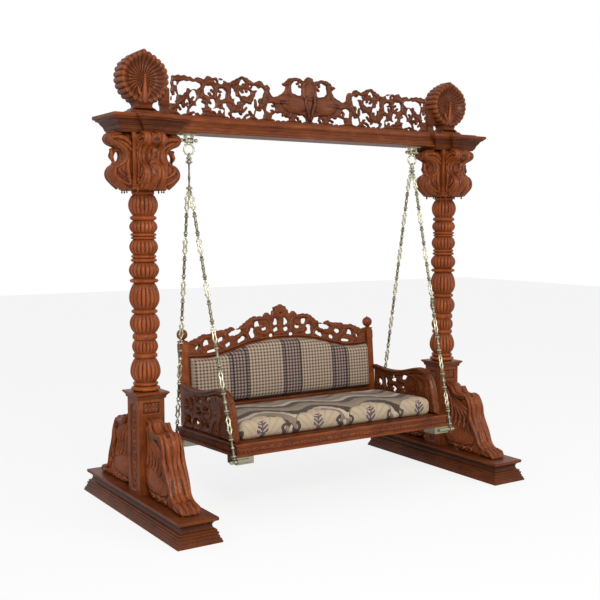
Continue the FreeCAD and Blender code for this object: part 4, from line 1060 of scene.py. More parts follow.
def column_line():
    """Stations of the whole column, with its reeds on the bulbs and vases."""
    height, radius, neck = CAPITAL_FOOT - COLUMN_FOOT, 70.0, 47.0
    line = [(neck, COLUMN_FOOT)]
    level = COLUMN_FOOT
    for kind, height_share, radius_share in COLUMN_TURNING:
        tall, wide = height_share * height, radius_share * radius
        if kind == "ring":
            line += bead_line(level, tall, neck + 2.5, wide, 8)
            line.append((neck + 1.0, level + tall - 0.01))
        else:
            line += bead_line(level, tall, neck, wide, *((14, 1.0) if kind == "bulb" else (18, 1.0, 0.42)))
            line.append((neck, level + tall - 0.01))
        level += tall
    line[-1] = (neck, CAPITAL_FOOT)
    return line


class JHOOLA_OT_columns(bpy.types.Operator):
    """Two turned columns of reeded bulbs, vases and rings"""
    bl_idname = "jhoola.columns"
    bl_label = "Columns"

    def execute(self, context):
        sizes = context.scene.jhoola_turning
        form = turning(column_line(), 8 * sizes.reeds, sizes.reeds, sizes.reed_depth / MM)
        stand_pair("_turned_column", form, "lit_turned_teak", "_column", sharp=60)
        return {"FINISHED"}


class JHOOLA_OT_capitals(bpy.types.Operator):
    """Two square capitals with corner strips, a shelf and turned drops"""
    bl_idname = "jhoola.capitals"
    bl_label = "Capitals"

    def execute(self, context):
        form = moulding(rectangle(66.0, 66.0), [(0, CAPITAL_FOOT + 20), (0, CORNICE_FOOT)])
        for x in (-73, 73):
            for y in (-73, 73):
                form.join(moulding(rectangle(7.0, 7.0, x, y), curve_line([
                    (3, 1532), (0, 1535), (0, 1560), (2, 1562), (2, 1740), (0, 1742), (0, 1768)])))
        form.join(moulding(rectangle(85.0, 85.0), curve_line([
            (14, 1511.5), (10, 1515), (3, 1516), ((-0.5, 1521), (2.5, 1526)), (5, 1527), (5, 1530),
            ((3, 1534), (1, 1536)), (1, 1538), (6, 1540)])))
        drop = turning([(1.5, 1498), (3.5, 1500), (4.0, 1503), (2.4, 1506), (2.4, 1508), (5.5, 1511), (5.5, 1515)], 16)
        for turn in range(4):
            for shift in (-58, 0, 58):
                form.join(drop, Matrix.Rotation(math.radians(90 * turn), 4, "Z") @ at(78, shift, 2))
        stand_pair("_square_capital", form, "teak_z", "_capital", sharp=30, bevel=0.8)
        return {"FINISHED"}


# Bracket in side view: share of its reach from the capital, share of the capital's height
BRACKET_OUTLINE = [
    (-0.12, 0.03), (0.20, 0.03), (0.30, 0.0), (0.40, 0.04), (0.52, 0.09), (0.70, 0.12), (0.86, 0.19), (0.92, 0.28),
    (0.84, 0.40), (0.70, 0.46), (0.64, 0.50), (0.78, 0.555), (0.84, 0.60), (0.76, 0.68), (0.80, 0.72), (0.66, 0.735),
    (0.50, 0.72), (0.46, 0.76), (0.60, 0.79), (0.90, 0.79), (1.0, 0.86), (0.97, 0.94), (0.84, 0.975), (0.62, 0.97),
    (0.50, 0.99), (-0.12, 0.99),
]
BRACKET_HOLE = [(0.28, 0.47), (0.44, 0.44), (0.58, 0.50), (0.62, 0.58), (0.54, 0.66), (0.38, 0.68), (0.26, 0.60)]
BRACKET_BODY = [
    (-0.12, 0.03), (0.16, 0.03), (0.38, 0.06), (0.62, 0.14), (0.82, 0.22), (0.86, 0.31), (0.74, 0.40), (0.48, 0.45),
    (0.30, 0.52), (0.24, 0.62), (0.32, 0.72), (0.56, 0.80), (0.86, 0.84), (0.94, 0.90), (0.84, 0.96), (0.50, 0.985),
    (-0.12, 0.99),
]
BRACKET_RIBS = [
    ([(0.0, 0.80), (0.25, 0.90), (0.60, 0.93), (0.86, 0.91), (0.90, 0.85), (0.80, 0.83)], [9, 11, 9, 7, 5, 3]),
    ([(0.0, 0.70), (0.18, 0.78), (0.40, 0.83), (0.62, 0.84)], [7, 8, 6, 3]),
    ([(0.05, 0.12), (0.15, 0.30), (0.18, 0.50), (0.10, 0.66)], [8, 9, 8, 4]),
    ([(0.10, 0.10), (0.35, 0.14), (0.62, 0.20), (0.80, 0.28), (0.70, 0.38)], [6, 9, 10, 8, 4]),
    ([(0.15, 0.22), (0.38, 0.27), (0.58, 0.34), (0.50, 0.42)], [5, 8, 6, 3]),
    ([(0.60, 0.47), (0.74, 0.56), (0.70, 0.66), (0.76, 0.71)], [6, 8, 6, 3]),
]
BRACKET_ROOT = 75.0
# Ridges over a bracket: distance from its middle and half thickness, in millimetres
BRACKET_RIDGES = ((-50.0, 8.0), (-34.0, 12.0), (-12.0, 9.5), (12.0, 9.5), (34.0, 12.0), (50.0, 8.0))


def bracket_form(reach):
    """A wide S-curved bracket under leaf ridges, with a bird's neck standing free before it, pointing along X."""
    tall = CORNICE_FOOT - CAPITAL_FOOT
    upright = (Matrix.Rotation(math.pi / 2, 4, "X").inverted()
               @ Matrix(((1, 0, 0, 0), (0, -1, 0, 0), (0, 0, -1, 0), (0, 0, 0, 1))))

    def sized(pairs):
        return [(BRACKET_ROOT + a * reach, CAPITAL_FOOT + b * tall) for a, b in pairs]
    outline = sized(BRACKET_OUTLINE)
    bird = carving_round(outline).board(softened(outline)).pierce(softened(sized(BRACKET_HOLE)))
    wide = carving_round(outline).board(softened(sized(BRACKET_BODY)))
    for carving in (bird, wide):
        for line, widths in BRACKET_RIBS:
            carving.rib(sized(line), widths, 8.0)

    level = (bird.up - CAPITAL_FOOT) / tall
    slim = 1.0 - 0.50 * smooth_step((level - 0.53) / 0.10) * smooth_step((0.78 - level) / 0.04)

    def neck(inside, relief):
        return (4.0 + 18.0 * round_over(inside, 13.0)) * slim + relief * 0.3

    def body(inside, relief):
        return np.minimum(40.0 + 14.0 * smooth_step(inside / 16.0) + relief, 63.0)
    # Painted shade: the boards' hollow values and the dark sides of the ridges
    form = bird.form(neck, hollow_depth=3.0, place=upright)
    form.join(wide.form(body, hollow_depth=3.0, edge_shade=0.6, place=upright))
    path = softened(sized(BRACKET_BODY[2:-1]), closed=False)
    for index, (y, thick) in enumerate(BRACKET_RIDGES):
        wave = np.sin(np.linspace(0, 9, len(path)) + index * 1.9)
        line = [(a - 5.0 - 0.0018 * y * y, y + 3.5 * shift, b) for (a, b), shift in zip(path, wave)]
        form.join(tube(line, thick + 2.4 * wave, 10, 0.55))
    return form


class JHOOLA_OT_brackets(bpy.types.Operator):
    """Eight carved brackets, four round each capital"""
    bl_idname = "jhoola.brackets"
    bl_label = "Brackets"

    def execute(self, context):
        wide, narrow = bracket_form(107.0), bracket_form(92.0)
        form = Form()
        for turn, piece in ((0, wide), (90, narrow), (180, wide), (270, narrow)):
            form.join(piece, Matrix.Rotation(math.radians(turn), 4, "Z"))
        stand_pair("_carved_brackets", form, "carved_teak", "_brackets", sharp=50)
        return {"FINISHED"}


class JHOOLA_OT_cornices(bpy.types.Operator):
    """Two cross-shaped moulded blocks on the capitals"""
    bl_idname = "jhoola.cornices"
    bl_label = "Cornices"

    def execute(self, context):
        long, wide, nose, reach = 187.0, 136.0, 86.0, 164.0
        cross = [(-nose, -reach), (nose, -reach), (nose, -wide), (long, -wide), (long, wide), (nose, wide),
                 (nose, reach), (-nose, reach), (-nose, wide), (-long, wide), (-long, -wide), (-nose, -wide)]
        stand_pair("_cross_cornice", moulding(cross, CORNICE_LINE), "teak_x", "_cornice", sharp=30, bevel=1.0)
        return {"FINISHED"}


def bar_along_x(half_section, half_length):
    """A straight moulded bar along X from half of its section: distance from the middle and level."""
    section = list(half_section) + [(-y, z) for y, z in reversed(half_section)]
    rings = [[(x, y, z) for y, z in section] for x in (-half_length, half_length)]
    return Form().add(np.concatenate(rings), ring_faces(2, len(section)), 0.0)


class JHOOLA_OT_beam(bpy.types.Operator):
    """The moulded cross beam and the rail under its crest"""
    bl_idname = "jhoola.beam"
    bl_label = "Beam"

    def execute(self, context):
        half = [(91.0 - inset, level) for inset, level in BEAM_LINE]
        # Painted shade in the recessed steps of the beam's profile
        hollow = hollow_of_line(np.array([inset for inset, _ in BEAM_LINE]), 5)
        form = bar_along_x(half, 774.0)
        form.hollows = [np.concatenate([hollow, hollow[::-1]] * 2)]
        finished_piece("cross_beam", form, "teak_x", "stand", "wood", ["beam"], sharp=30, bevel=0.8)
        rail = curve_line([(18.0, 1847.0), (18.0, 1856.0), ((18.0, 1860.0), (14.0, 1861.0)), (14.0, 1863.0),
                           ((14.0, 1867.0), (11.5, 1867.0))])
        finished_piece("crest_foot_rail", bar_along_x(rail, 825.0), "teak_x", "stand", "wood", ["crest_rail"],
                       sharp=30, bevel=0.6)
        return {"FINISHED"}


# Left panel of the beam's crest in millimetres from the middle and above the crest's foot
CREST_TOP = [
    (-775, 0), (-775, 46), (-764, 52), (-764, 166), (-756, 179), (-702, 183), (-667, 178), (-647, 168), (-628, 179),
    (-614, 180), (-597, 168), (-583, 186), (-574, 191), (-560, 187), (-547, 182), (-529, 186), (-493, 181), (-474, 168),
    (-452, 168), (-420, 190), (-384, 207), (-347, 188), (-316, 176), (-302, 188), (-284, 191), (-264, 171), (-256, 160),
    (-256, 0),
]
CREST_HOLES = [
    [(-762, 64), (-741, 62), (-736, 98), (-757, 100)],
    [(-764, 52), (-740, 50), (-741, 59), (-763, 60)],
    [(-750, 136), (-735, 134), (-733, 150), (-749, 152)],
    [(-722, 104), (-690, 92), (-676, 120), (-632, 126), (-620, 142), (-640, 152), (-700, 152), (-720, 140)],
    [(-664, 78), (-638, 74), (-636, 108), (-652, 116), (-668, 100)],
    [(-728, 8), (-690, 6), (-682, 30), (-700, 46), (-724, 44)],
    [(-690, 50), (-672, 46), (-676, 70), (-690, 72)],
    [(-666, 8), (-612, 7), (-606, 36), (-640, 44), (-662, 36)],
    [(-630, 46), (-594, 42), (-590, 70), (-612, 80), (-632, 70)],
    [(-590, 108), (-562, 100), (-545, 112), (-548, 134), (-566, 142), (-588, 134)],
    [(-568, 48), (-540, 44), (-534, 70), (-544, 82), (-564, 76)],
    [(-550, 22), (-496, 20), (-494, 36), (-520, 42), (-548, 38)],
    [(-536, 166), (-512, 160), (-494, 160), (-492, 172), (-512, 177), (-532, 178)],
    [(-520, 92), (-486, 90), (-478, 116), (-490, 132), (-514, 130)],
    [(-494, 52), (-478, 48), (-474, 70), (-482, 76), (-492, 74)],
    [(-484, 8), (-452, 8), (-462, 46), (-478, 50)],
    [(-448, 104), (-428, 100), (-422, 142), (-434, 158), (-446, 144)],
    [(-430, 72), (-402, 68), (-398, 94), (-412, 104), (-428, 96)],
    [(-402, 162), (-376, 160), (-372, 178), (-386, 188), (-398, 178)],
    [(-398, 116), (-366, 112), (-348, 120), (-348, 136), (-370, 140), (-396, 136)],
    [(-380, 32), (-326, 28), (-320, 56), (-336, 70), (-372, 70)],
    [(-346, 146), (-306, 142), (-302, 156), (-322, 162), (-344, 160)],
    [(-332, 82), (-304, 70), (-286, 96), (-266, 134), (-280, 150), (-302, 140), (-316, 108)],
    [(-438, 8), (-356, 6), (-352, 20), (-390, 28), (-434, 24)],
    [(-312, 14), (-272, 10), (-268, 46), (-286, 58), (-308, 48)],
]
CREST_RIBS = [
    ([(-760, 30), (-730, 56), (-700, 80), (-672, 76), (-660, 56), (-676, 44)], [6, 8, 8, 6, 4, 2]),
    ([(-745, 160), (-700, 166), (-650, 158), (-610, 164), (-600, 140), (-618, 118)], [6, 9, 9, 7, 6, 3]),
    ([(-610, 84), (-600, 110), (-604, 140), (-580, 160), (-548, 166), (-520, 150)], [5, 8, 8, 8, 6, 3]),
    ([(-600, 30), (-570, 34), (-556, 20)], [8, 7, 3]),
    ([(-540, 90), (-530, 112), (-532, 140), (-510, 152), (-470, 146), (-462, 110), (-468, 86)], [6, 8, 8, 8, 8, 6, 3]),
    ([(-516, 60), (-480, 84), (-450, 84), (-430, 60), (-440, 36)], [5, 8, 8, 7, 3]),
    ([(-455, 160), (-420, 172), (-384, 196), (-350, 176), (-326, 168)], [5, 8, 9, 8, 4]),
    ([(-410, 130), (-400, 106), (-380, 90), (-350, 84), (-330, 108), (-318, 140)], [5, 7, 8, 8, 8, 4]),
    ([(-400, 40), (-390, 56), (-394, 80), (-420, 60)], [6, 8, 6, 3]),
    ([(-350, 176), (-320, 172), (-296, 178), (-276, 160)], [5, 7, 8, 4]),
    ([(-312, 64), (-290, 62), (-268, 80), (-262, 120), (-262, 150)], [5, 7, 8, 7, 4]),
]

# Right half of the middle panel with its two facing peacocks
PEACOCK_TOP = [
    (264, 0), (264, 168), (256, 172), (246, 174), (232, 158), (234, 140), (222, 122), (206, 117), (180, 128),
    (152, 143), (142, 160), (137, 172), (152, 178), (164, 189), (140, 196), (128, 212), (106, 220), (70, 223),
    (46, 214), (28, 208),
    (20, 226), (0, 231),
]
PEACOCK_HOLES = [
    [(104, 150), (60, 138), (48, 146), (46, 186), (64, 202), (86, 200), (104, 186)],
    [(82, 8), (20, 8), (24, 28), (44, 36), (74, 34)],
    [(218, 8), (124, 8), (130, 30), (160, 40), (208, 36)],
    [(250, 44), (200, 50), (204, 78), (226, 86), (248, 80)],
]
PEACOCK_RIBS = [
    ([(154, 184), (132, 190), (112, 194), (118, 170), (122, 150), (108, 128), (82, 118)], [3, 6, 9, 9, 10, 13, 9]),
    ([(96, 112), (130, 116), (168, 112), (206, 106), (240, 92)], [12, 16, 16, 12, 6]),
    ([(150, 100), (186, 92), (222, 98), (250, 120), (248, 150)], [6, 8, 8, 7, 4]),
    ([(130, 96), (124, 70), (112, 46), (116, 26)], [9, 8, 5, 5]),
    ([(20, 20), (28, 44), (60, 50), (84, 48)], [5, 7, 6, 4]),
    ([(6, 120), (28, 124), (40, 150), (36, 190), (12, 212)], [6, 8, 7, 7, 6]),
    ([(106, 206), (84, 214), (56, 208)], [6, 7, 5]),
]


def crest_carving(outline, holes, ribs, mirror=False, widen=1.16, leafy=2.2):
    """A pierced board with rounded leaf ribs along its scrolls."""
    both = with_mirror(outline) if mirror else outline
    carving = carving_round(both).board(softened(both, closed=False))
    for sign in (1, -1) if mirror else (1,):
        for hole in holes:
            wider = [(sign * a, max(b, 5.0)) for a, b in widened(hole, widen)]
            carving.pierce(softened(wider, 1), 14.0)
        carving.leaf_tips([softened([(sign * a, b) for a, b in hole], 1) for hole in holes], random.Random(7),
                          0.55, 6.0)
        for line, widths in ribs:
            carving.rib([(sign * a, b) for a, b in line], widths, 5.0)
    waves = leafy * np.sin(carving.across / 5.1) * np.sin(carving.up / 5.6 + 1.0)
    carving.inside = carving.inside + waves * smooth_step(1.0 - np.abs(carving.inside) / 8.0)
    return carving, bpy.context.scene.jhoola_carving.rounding / MM


def crest_face(half_thickness, rounding, ripple, highest=0.0):
    """Height of a carved face: rounded at the edges, with fine cut lines where it is broad."""
    highest = highest or half_thickness
    pitch = 6.0

    def face(inside, relief):
        dome = half_thickness * (0.42 + 0.34 * smooth_step(inside / rounding))
        lines = ripple * np.cos(inside * 2 * math.pi / pitch) * smooth_step((inside - 2.0) / 3.0)
        return np.minimum(dome + relief * half_thickness / 16.0 + lines, highest)
    return face


class JHOOLA_OT_beam_crest(bpy.types.Operator):
    """Pierced crest of leaf scrolls and two facing peacocks on the beam"""
    bl_idname = "jhoola.beam_crest"
    bl_label = "Beam crest"

    def execute(self, context):
        carving, rounding = crest_carving(CREST_TOP, CREST_HOLES, CREST_RIBS, widen=1.27, leafy=2.8)
        place = at(0, 0, CREST_FOOT) @ FACING_FRONT
        panel = carving.form(crest_face(11.0, rounding, 0.5), hollow_depth=2.4, place=place)
        scroll = moulding(rectangle(25.0, 15.0, -800.0, 0.0), curve_line([
            (0, 1867), (0, 1872), (4, 1876), ((8, 1890), (4, 1904)), (2, 1906), (2, 1978), (3, 1982), (5, 1985)]))
        panel.join(scroll)
        for side, sign in SIDES:
            finished_piece(side + "_leaf_crest", Form().join(panel, flip_x=sign > 0), "carved_teak_beam", "stand",
                           "wood", [side + "_crest"], sharp=50)
        carving, rounding = crest_carving(PEACOCK_TOP, PEACOCK_HOLES, PEACOCK_RIBS, mirror=True)
        for sign in (1, -1):
            away, level = sign * carving.across - 92.0, carving.up - 88.0
            belly = 1.0 - (np.abs(away + 0.25 * level) / 72.0) ** 2 - (np.abs(level - 0.10 * away) / 44.0) ** 2
            carving.relief = np.maximum(carving.relief, 17.0 * np.sqrt(np.clip(belly, 0.0, 1.0)))
            for turn in range(4):
                carving.rib([(sign * (52 + turn * 24), 70 + turn * 5), (sign * (78 + turn * 24), 96),
                             (sign * (110 + turn * 22), 104 - turn * 4)], [3, 5, 2.5], 20.0)
            carving.rib([(sign * 5, 18), (sign * 13, 58), (sign * 30, 100), (sign * 22, 128)], [5, 8, 8, 4], 17.0)
        birds = carving.form(crest_face(11.0, rounding, 0.5, highest=18.0), hollow_depth=2.4, place=place)
        finished_piece("facing_peacocks", birds, "carved_teak_beam", "stand", "wood", ["peacock_crest"], sharp=50)
        return {"FINISHED"}


def fan_face(radius, scallops, across, rows):
    """Points of a fan's front: fine ribs run out of a deep dish to a thick scalloped rim with a slight point."""
    shares = np.concatenate([np.linspace(0.02, 0.88, rows - 10), np.linspace(0.895, 1.0, 10)])
    angle = np.arange(across) * 2 * math.pi / across
    feather = np.abs(np.cos(angle * scallops / 2.0))
    away = np.minimum(angle, 2 * math.pi - angle)
    edge = radius * (0.915 + 0.060 * feather ** 0.7 + 0.075 * np.exp(-(away / 0.16) ** 2))
    edge *= 1.0 - 0.035 * np.exp(-((away - 0.62) / 0.30) ** 2)
    points, hollow = [], []
    for share in shares:
        reach = edge * share
        dish = 47.0 - 27.0 * smooth_step((0.90 - share) / 0.42)
        rib = 3.6 * (feather ** 0.8 - 0.5) * smooth_step(share / 0.2) * (1.0 if share < 0.9 else 0.5)
        eye = 3.2 * np.exp(-((share - 0.78) / 0.05) ** 2) * feather ** 4
        roll = 1.0 - 0.20 * smooth_step((share - 0.94) / 0.06)
        points.append(np.column_stack([reach * np.sin(angle), -np.minimum((dish + rib + eye) * roll, 50.0),
                                       reach * np.cos(angle)]))
        # Painted shade in the valleys between the feathers and in the dish
        valley = (1.0 - feather ** 0.9) * 0.75 * smooth_step(share / 0.2)
        hollow.append(np.clip(valley + 0.42 * smooth_step((0.92 - share) / 0.12), 0.0, 1.0) * np.ones(across))
    return points, hollow


class JHOOLA_OT_finials(bpy.types.Operator):
    """Two fans of feathers with a small bird in front, on moulded feet"""
    bl_idname = "jhoola.finials"
    bl_label = "Finials"

    def execute(self, context):
        feathers = 26
        across, rows = feathers * 12, 34
        foot_top = BEAM_TOP + 33.0
        centre = foot_top + 18.0 + 118.0
        form = Form()
        points, hollow = fan_face(122.0, feathers, across, rows)
        back = [ring * np.array([1.0, -1.0, 1.0]) for ring in points]
        rings = points + back[::-1]
        tone = hollow + hollow[::-1]
        form.add(np.concatenate(rings), flipped(ring_faces(len(rings), across, False)),
                 np.clip(np.concatenate(tone), 0, 1), at(0, 0, centre))
        bird = [((0, -30, -98), 20), ((0, -34, -78), 17), ((0, -36, -56), 13), ((0, -38, -36), 9.5),
                ((0, -40, -16), 7.5), ((0, -42, 0), 7.0), ((0, -44, 10), 7.5), ((0, -44, 18), 4)]
        for sign in (1, -1):
            line = [np.array(spot) * (1, sign, 1) for spot, _ in bird]
            widths = [width for _, width in bird]
            form.join(tube(line, widths, 14), at(0, 0, centre))
            form.join(tube([(0, sign * -44, 11), (0, sign * -50, 8), (0, sign * -52, 1)], [4.5, 3.0, 0.8], 8),
                      at(0, 0, centre))
            for wing in (-1, 1):
                form.join(tube([(wing * 10, sign * -32, -88), (wing * 24, sign * -34, -66),
                                (wing * 28, sign * -28, -40)], [10, 8, 3], 10), at(0, 0, centre))
        form.join(moulding(rectangle(82.0, 62.0), curve_line([
            (0, 1847), (0, 1854), ((3, 1860), (9, 1861)), (11, 1864), ((14, 1872), (24, 1874)), (26, 1877),
            (28, 1880)])))
        form.join(moulding(rectangle(41.0, 41.0), curve_line([
            (-8, 1879), ((4, 1884), (5, 1893)), ((2, 1904), (-4, 1912)), (10, 1916)])))
        stand_pair("_fan_finial", form, "teak_z", "_finial", sharp=50)
        return {"FINISHED"}


# Lion in side view: distance out from the pedestal and height above the plinth, in millimetres
LION_OUTLINE = [
    (-6, 0), (404, 0), (413, 6), (409, 18), (396, 26), (382, 36), (364, 40), (344, 48), (330, 58), (318, 62),
    (306, 74), (296, 96), (286, 122), (272, 146), (254, 170), (238, 190), (228, 210), (236, 226), (238, 244),
    (230, 262), (232, 276), (218, 296), (204, 320), (190, 330), (178, 312), (154, 308), (120, 310),
    (100, 318), (94, 336),
    (82, 352), (66, 366), (40, 371), (10, 368), (-6, 362),
]


def lion_form():
    """One guardian lion facing -Y: rounded haunch, feathered flank, locks down the chest and clawed paws."""
    outline = softened([(a if a > -6 else -12, b if b > 0 else -6) for a, b in LION_OUTLINE])
    carving = Carving((-12, -6), (414, 372), cutting_step())
    carving.board(outline)
    carving.inside -= 5.5
    across, up = carving.across, carving.up
    width = 34.0 + 14.0 * smooth_step((260.0 - up) / 200.0)

    def dome(centre, radii, turn, height, power=2.0):
        c, s = math.cos(math.radians(turn)), math.sin(math.radians(turn))
        da, db = across - centre[0], up - centre[1]
        share = (np.abs(da * c + db * s) / radii[0]) ** power + (np.abs(-da * s + db * c) / radii[1]) ** power
        return height * np.clip(1.0 - share, 0.0, 1.0) ** 0.5
    haunch = dome((122, 92), (132, 96), 6, 62.0)
    for part in (haunch, dome((150, 262), (112, 100), -30, 50.0), dome((276, 120), (70, 170), 26, 54.0),
                 dome((352, 18), (76, 50), -6, 59.0, 2.6)):
        width = np.maximum(width, part)
    carving.relief += 1.7 * np.sin(across / 2.9 + np.sin(up / 7.0)) * np.sin(up / 3.3) * smooth_step(haunch / 20.0)
    carving.rib([(20, 352), (60, 340), (90, 312), (70, 296), (54, 312)], [9, 11, 9, 6, 3], 9.0)
    for index in range(7):
        carving.rib([(20 + index * 13, 320 - index * 4), (34 + index * 22, 268 - index * 2), (40 + index * 31, 206),
                     (30 + index * 36, 150 - index * index * 1.2)], [4, 7.5, 8.0, 3.5], 11.0)
    for line in ([(212, 246), (232, 236), (234, 222), (222, 216), (212, 228)],
                 [(200, 306), (222, 290), (222, 272), (206, 268), (198, 284)],
                 [(172, 318), (192, 316), (196, 300), (182, 292)],
                 [(16, 18), (32, 36), (52, 30), (46, 14), (34, 20)],
                 [(74, 14), (92, 34), (114, 28), (108, 12), (94, 18)],
                 [(136, 12), (154, 34), (178, 28), (172, 12), (156, 18)], [(200, 12), (216, 32), (238, 26), (232, 12)]):
        carving.rib(line, [4, 7, 7, 5, 3], 10.0)
    for shift, wide in ((0, 12), (26, 10)):
        carving.rib([(232 + shift, 214 - shift * 1.6), (256 + shift, 160), (272 + shift, 104), (296 + shift, 50)],
                    [6, wide, wide, 8], 9.0)
    carving.groove([(238, 186), (254, 140), (258, 96), (244, 52), (206, 24)], [4, 7, 8, 7, 5], 8.0)
    carving.groove([(14, 44), (60, 34), (120, 38), (180, 34), (232, 50)], [5, 6, 6, 6, 5], 6.0)
    for toe in range(3):
        carving.rib([(316 + toe * 4, 42 - toe * 9), (352, 36 - toe * 10), (396, 22 - toe * 7)], [5, 8, 6], 5.0)

    def face(inside_here, relief):
        edge = round_over(inside_here, 20.0)
        return np.clip(width * (0.60 + 0.28 * edge) + (relief - 3.0) * edge, 10.0, 62.0)
    place = at(0, -PEDESTAL_HALF, PLINTH_TOP) @ Matrix(((0, 0, 1, 0), (-1, 0, 0, 0), (0, 1, 0, 0), (0, 0, 0, 1)))
    # Painted shade along the board's edge and, below, on the sides of the locks and legs
    half = carving.form(face, hollow_depth=3.6, hollow_reach=4, edge_shade=0.3)
    form = Form().join(half, place, mirrored_place=True)
    front = [(82, 350), (104, 317), (136, 310), (172, 312), (196, 318), (214, 296), (226, 272), (229, 250), (229, 220),
             (240, 188), (262, 154), (284, 118), (300, 80), (318, 58), (340, 44)]
    front = softened(front, closed=False)
    for index, (x, thick) in enumerate(((-45, 11.0), (-22, 14.0), (3, 15.0), (27, 13.5), (47, 10.0))):
        drop = (thick - 5.0) / 1.5 + 0.0026 * x * x
        sway = 5.0 * np.sin(np.linspace(0, 8, len(front)) + index * 2.3)
        line = [(x + shift * (1.0 - abs(x) / 70.0), -PEDESTAL_HALF - (a - drop * 1.2), PLINTH_TOP + b - drop)
                for (a, b), shift in zip(front, sway)]
        form.join(tube(line, thick + 2.2 * np.sin(np.linspace(0, 12, len(front)) + index * 1.7), 14, 0.80))
    for index, x in enumerate((-40, -14, 14, 40)):
        paw = -PEDESTAL_HALF - (404 if abs(x) < 20 else 396)
        form.join(tube([(x * 0.8, -PEDESTAL_HALF - 318, 138), (x * 0.95, -PEDESTAL_HALF - 350, 143),
                        (x, -PEDESTAL_HALF - 378, 135), (x, paw + 8, 123), (x, paw + 2, 117)],
                       [10, 13.5, 13.5, 10.5, 6], 12, 0.8))
        form.join(tube([(x, paw + 12, 124), (x, paw, 118), (x, paw - 5, 112)], [4.5, 3.2, 0.8], 8))
    return form


class JHOOLA_OT_lions(bpy.types.Operator):
    """Four carved guardian lions beside the pedestals"""
    bl_idname = "jhoola.lions"
    bl_label = "Lions"

    def execute(self, context):
        form = lion_form()
        for side, sign in SIDES:
            for end, turn in (("front", 0.0), ("back", math.pi)):
                finished_piece(side + "_" + end + "_guardian_lion", form, "carved_teak", "stand", "wood",
                               [side + "_" + end + "_lion"], on_column(sign) @ Matrix.Rotation(turn, 4, "Z"), sharp=55)
        return {"FINISHED"}


# ---------------------------------------------------------------------------------------------
# Hangers and chains
# ---------------------------------------------------------------------------------------------

FORK_LEVEL = {"left": 1500.0, "right": 1620.0}
CHAIN_PAIRS = {"left": 6, "right": 7}
STUD_LEVEL = 273.5
HOOK_X = 646.0
STUD_Y = {"front": -375.0, "back": 235.0}
EYE_LEVEL = 1680.7
STEM_TOP = 1670.0
RING_RADIUS = 25.0
RING_BEADS_RADIUS = 28.4
RING_BEADS = 12


def hung_point(x, y, z):
    """A point of the seat's own frame, where it hangs, in millimetres."""
    spot = SEAT_PLACE @ Vector((x * MM, y * MM, z * MM))
    return spot / MM


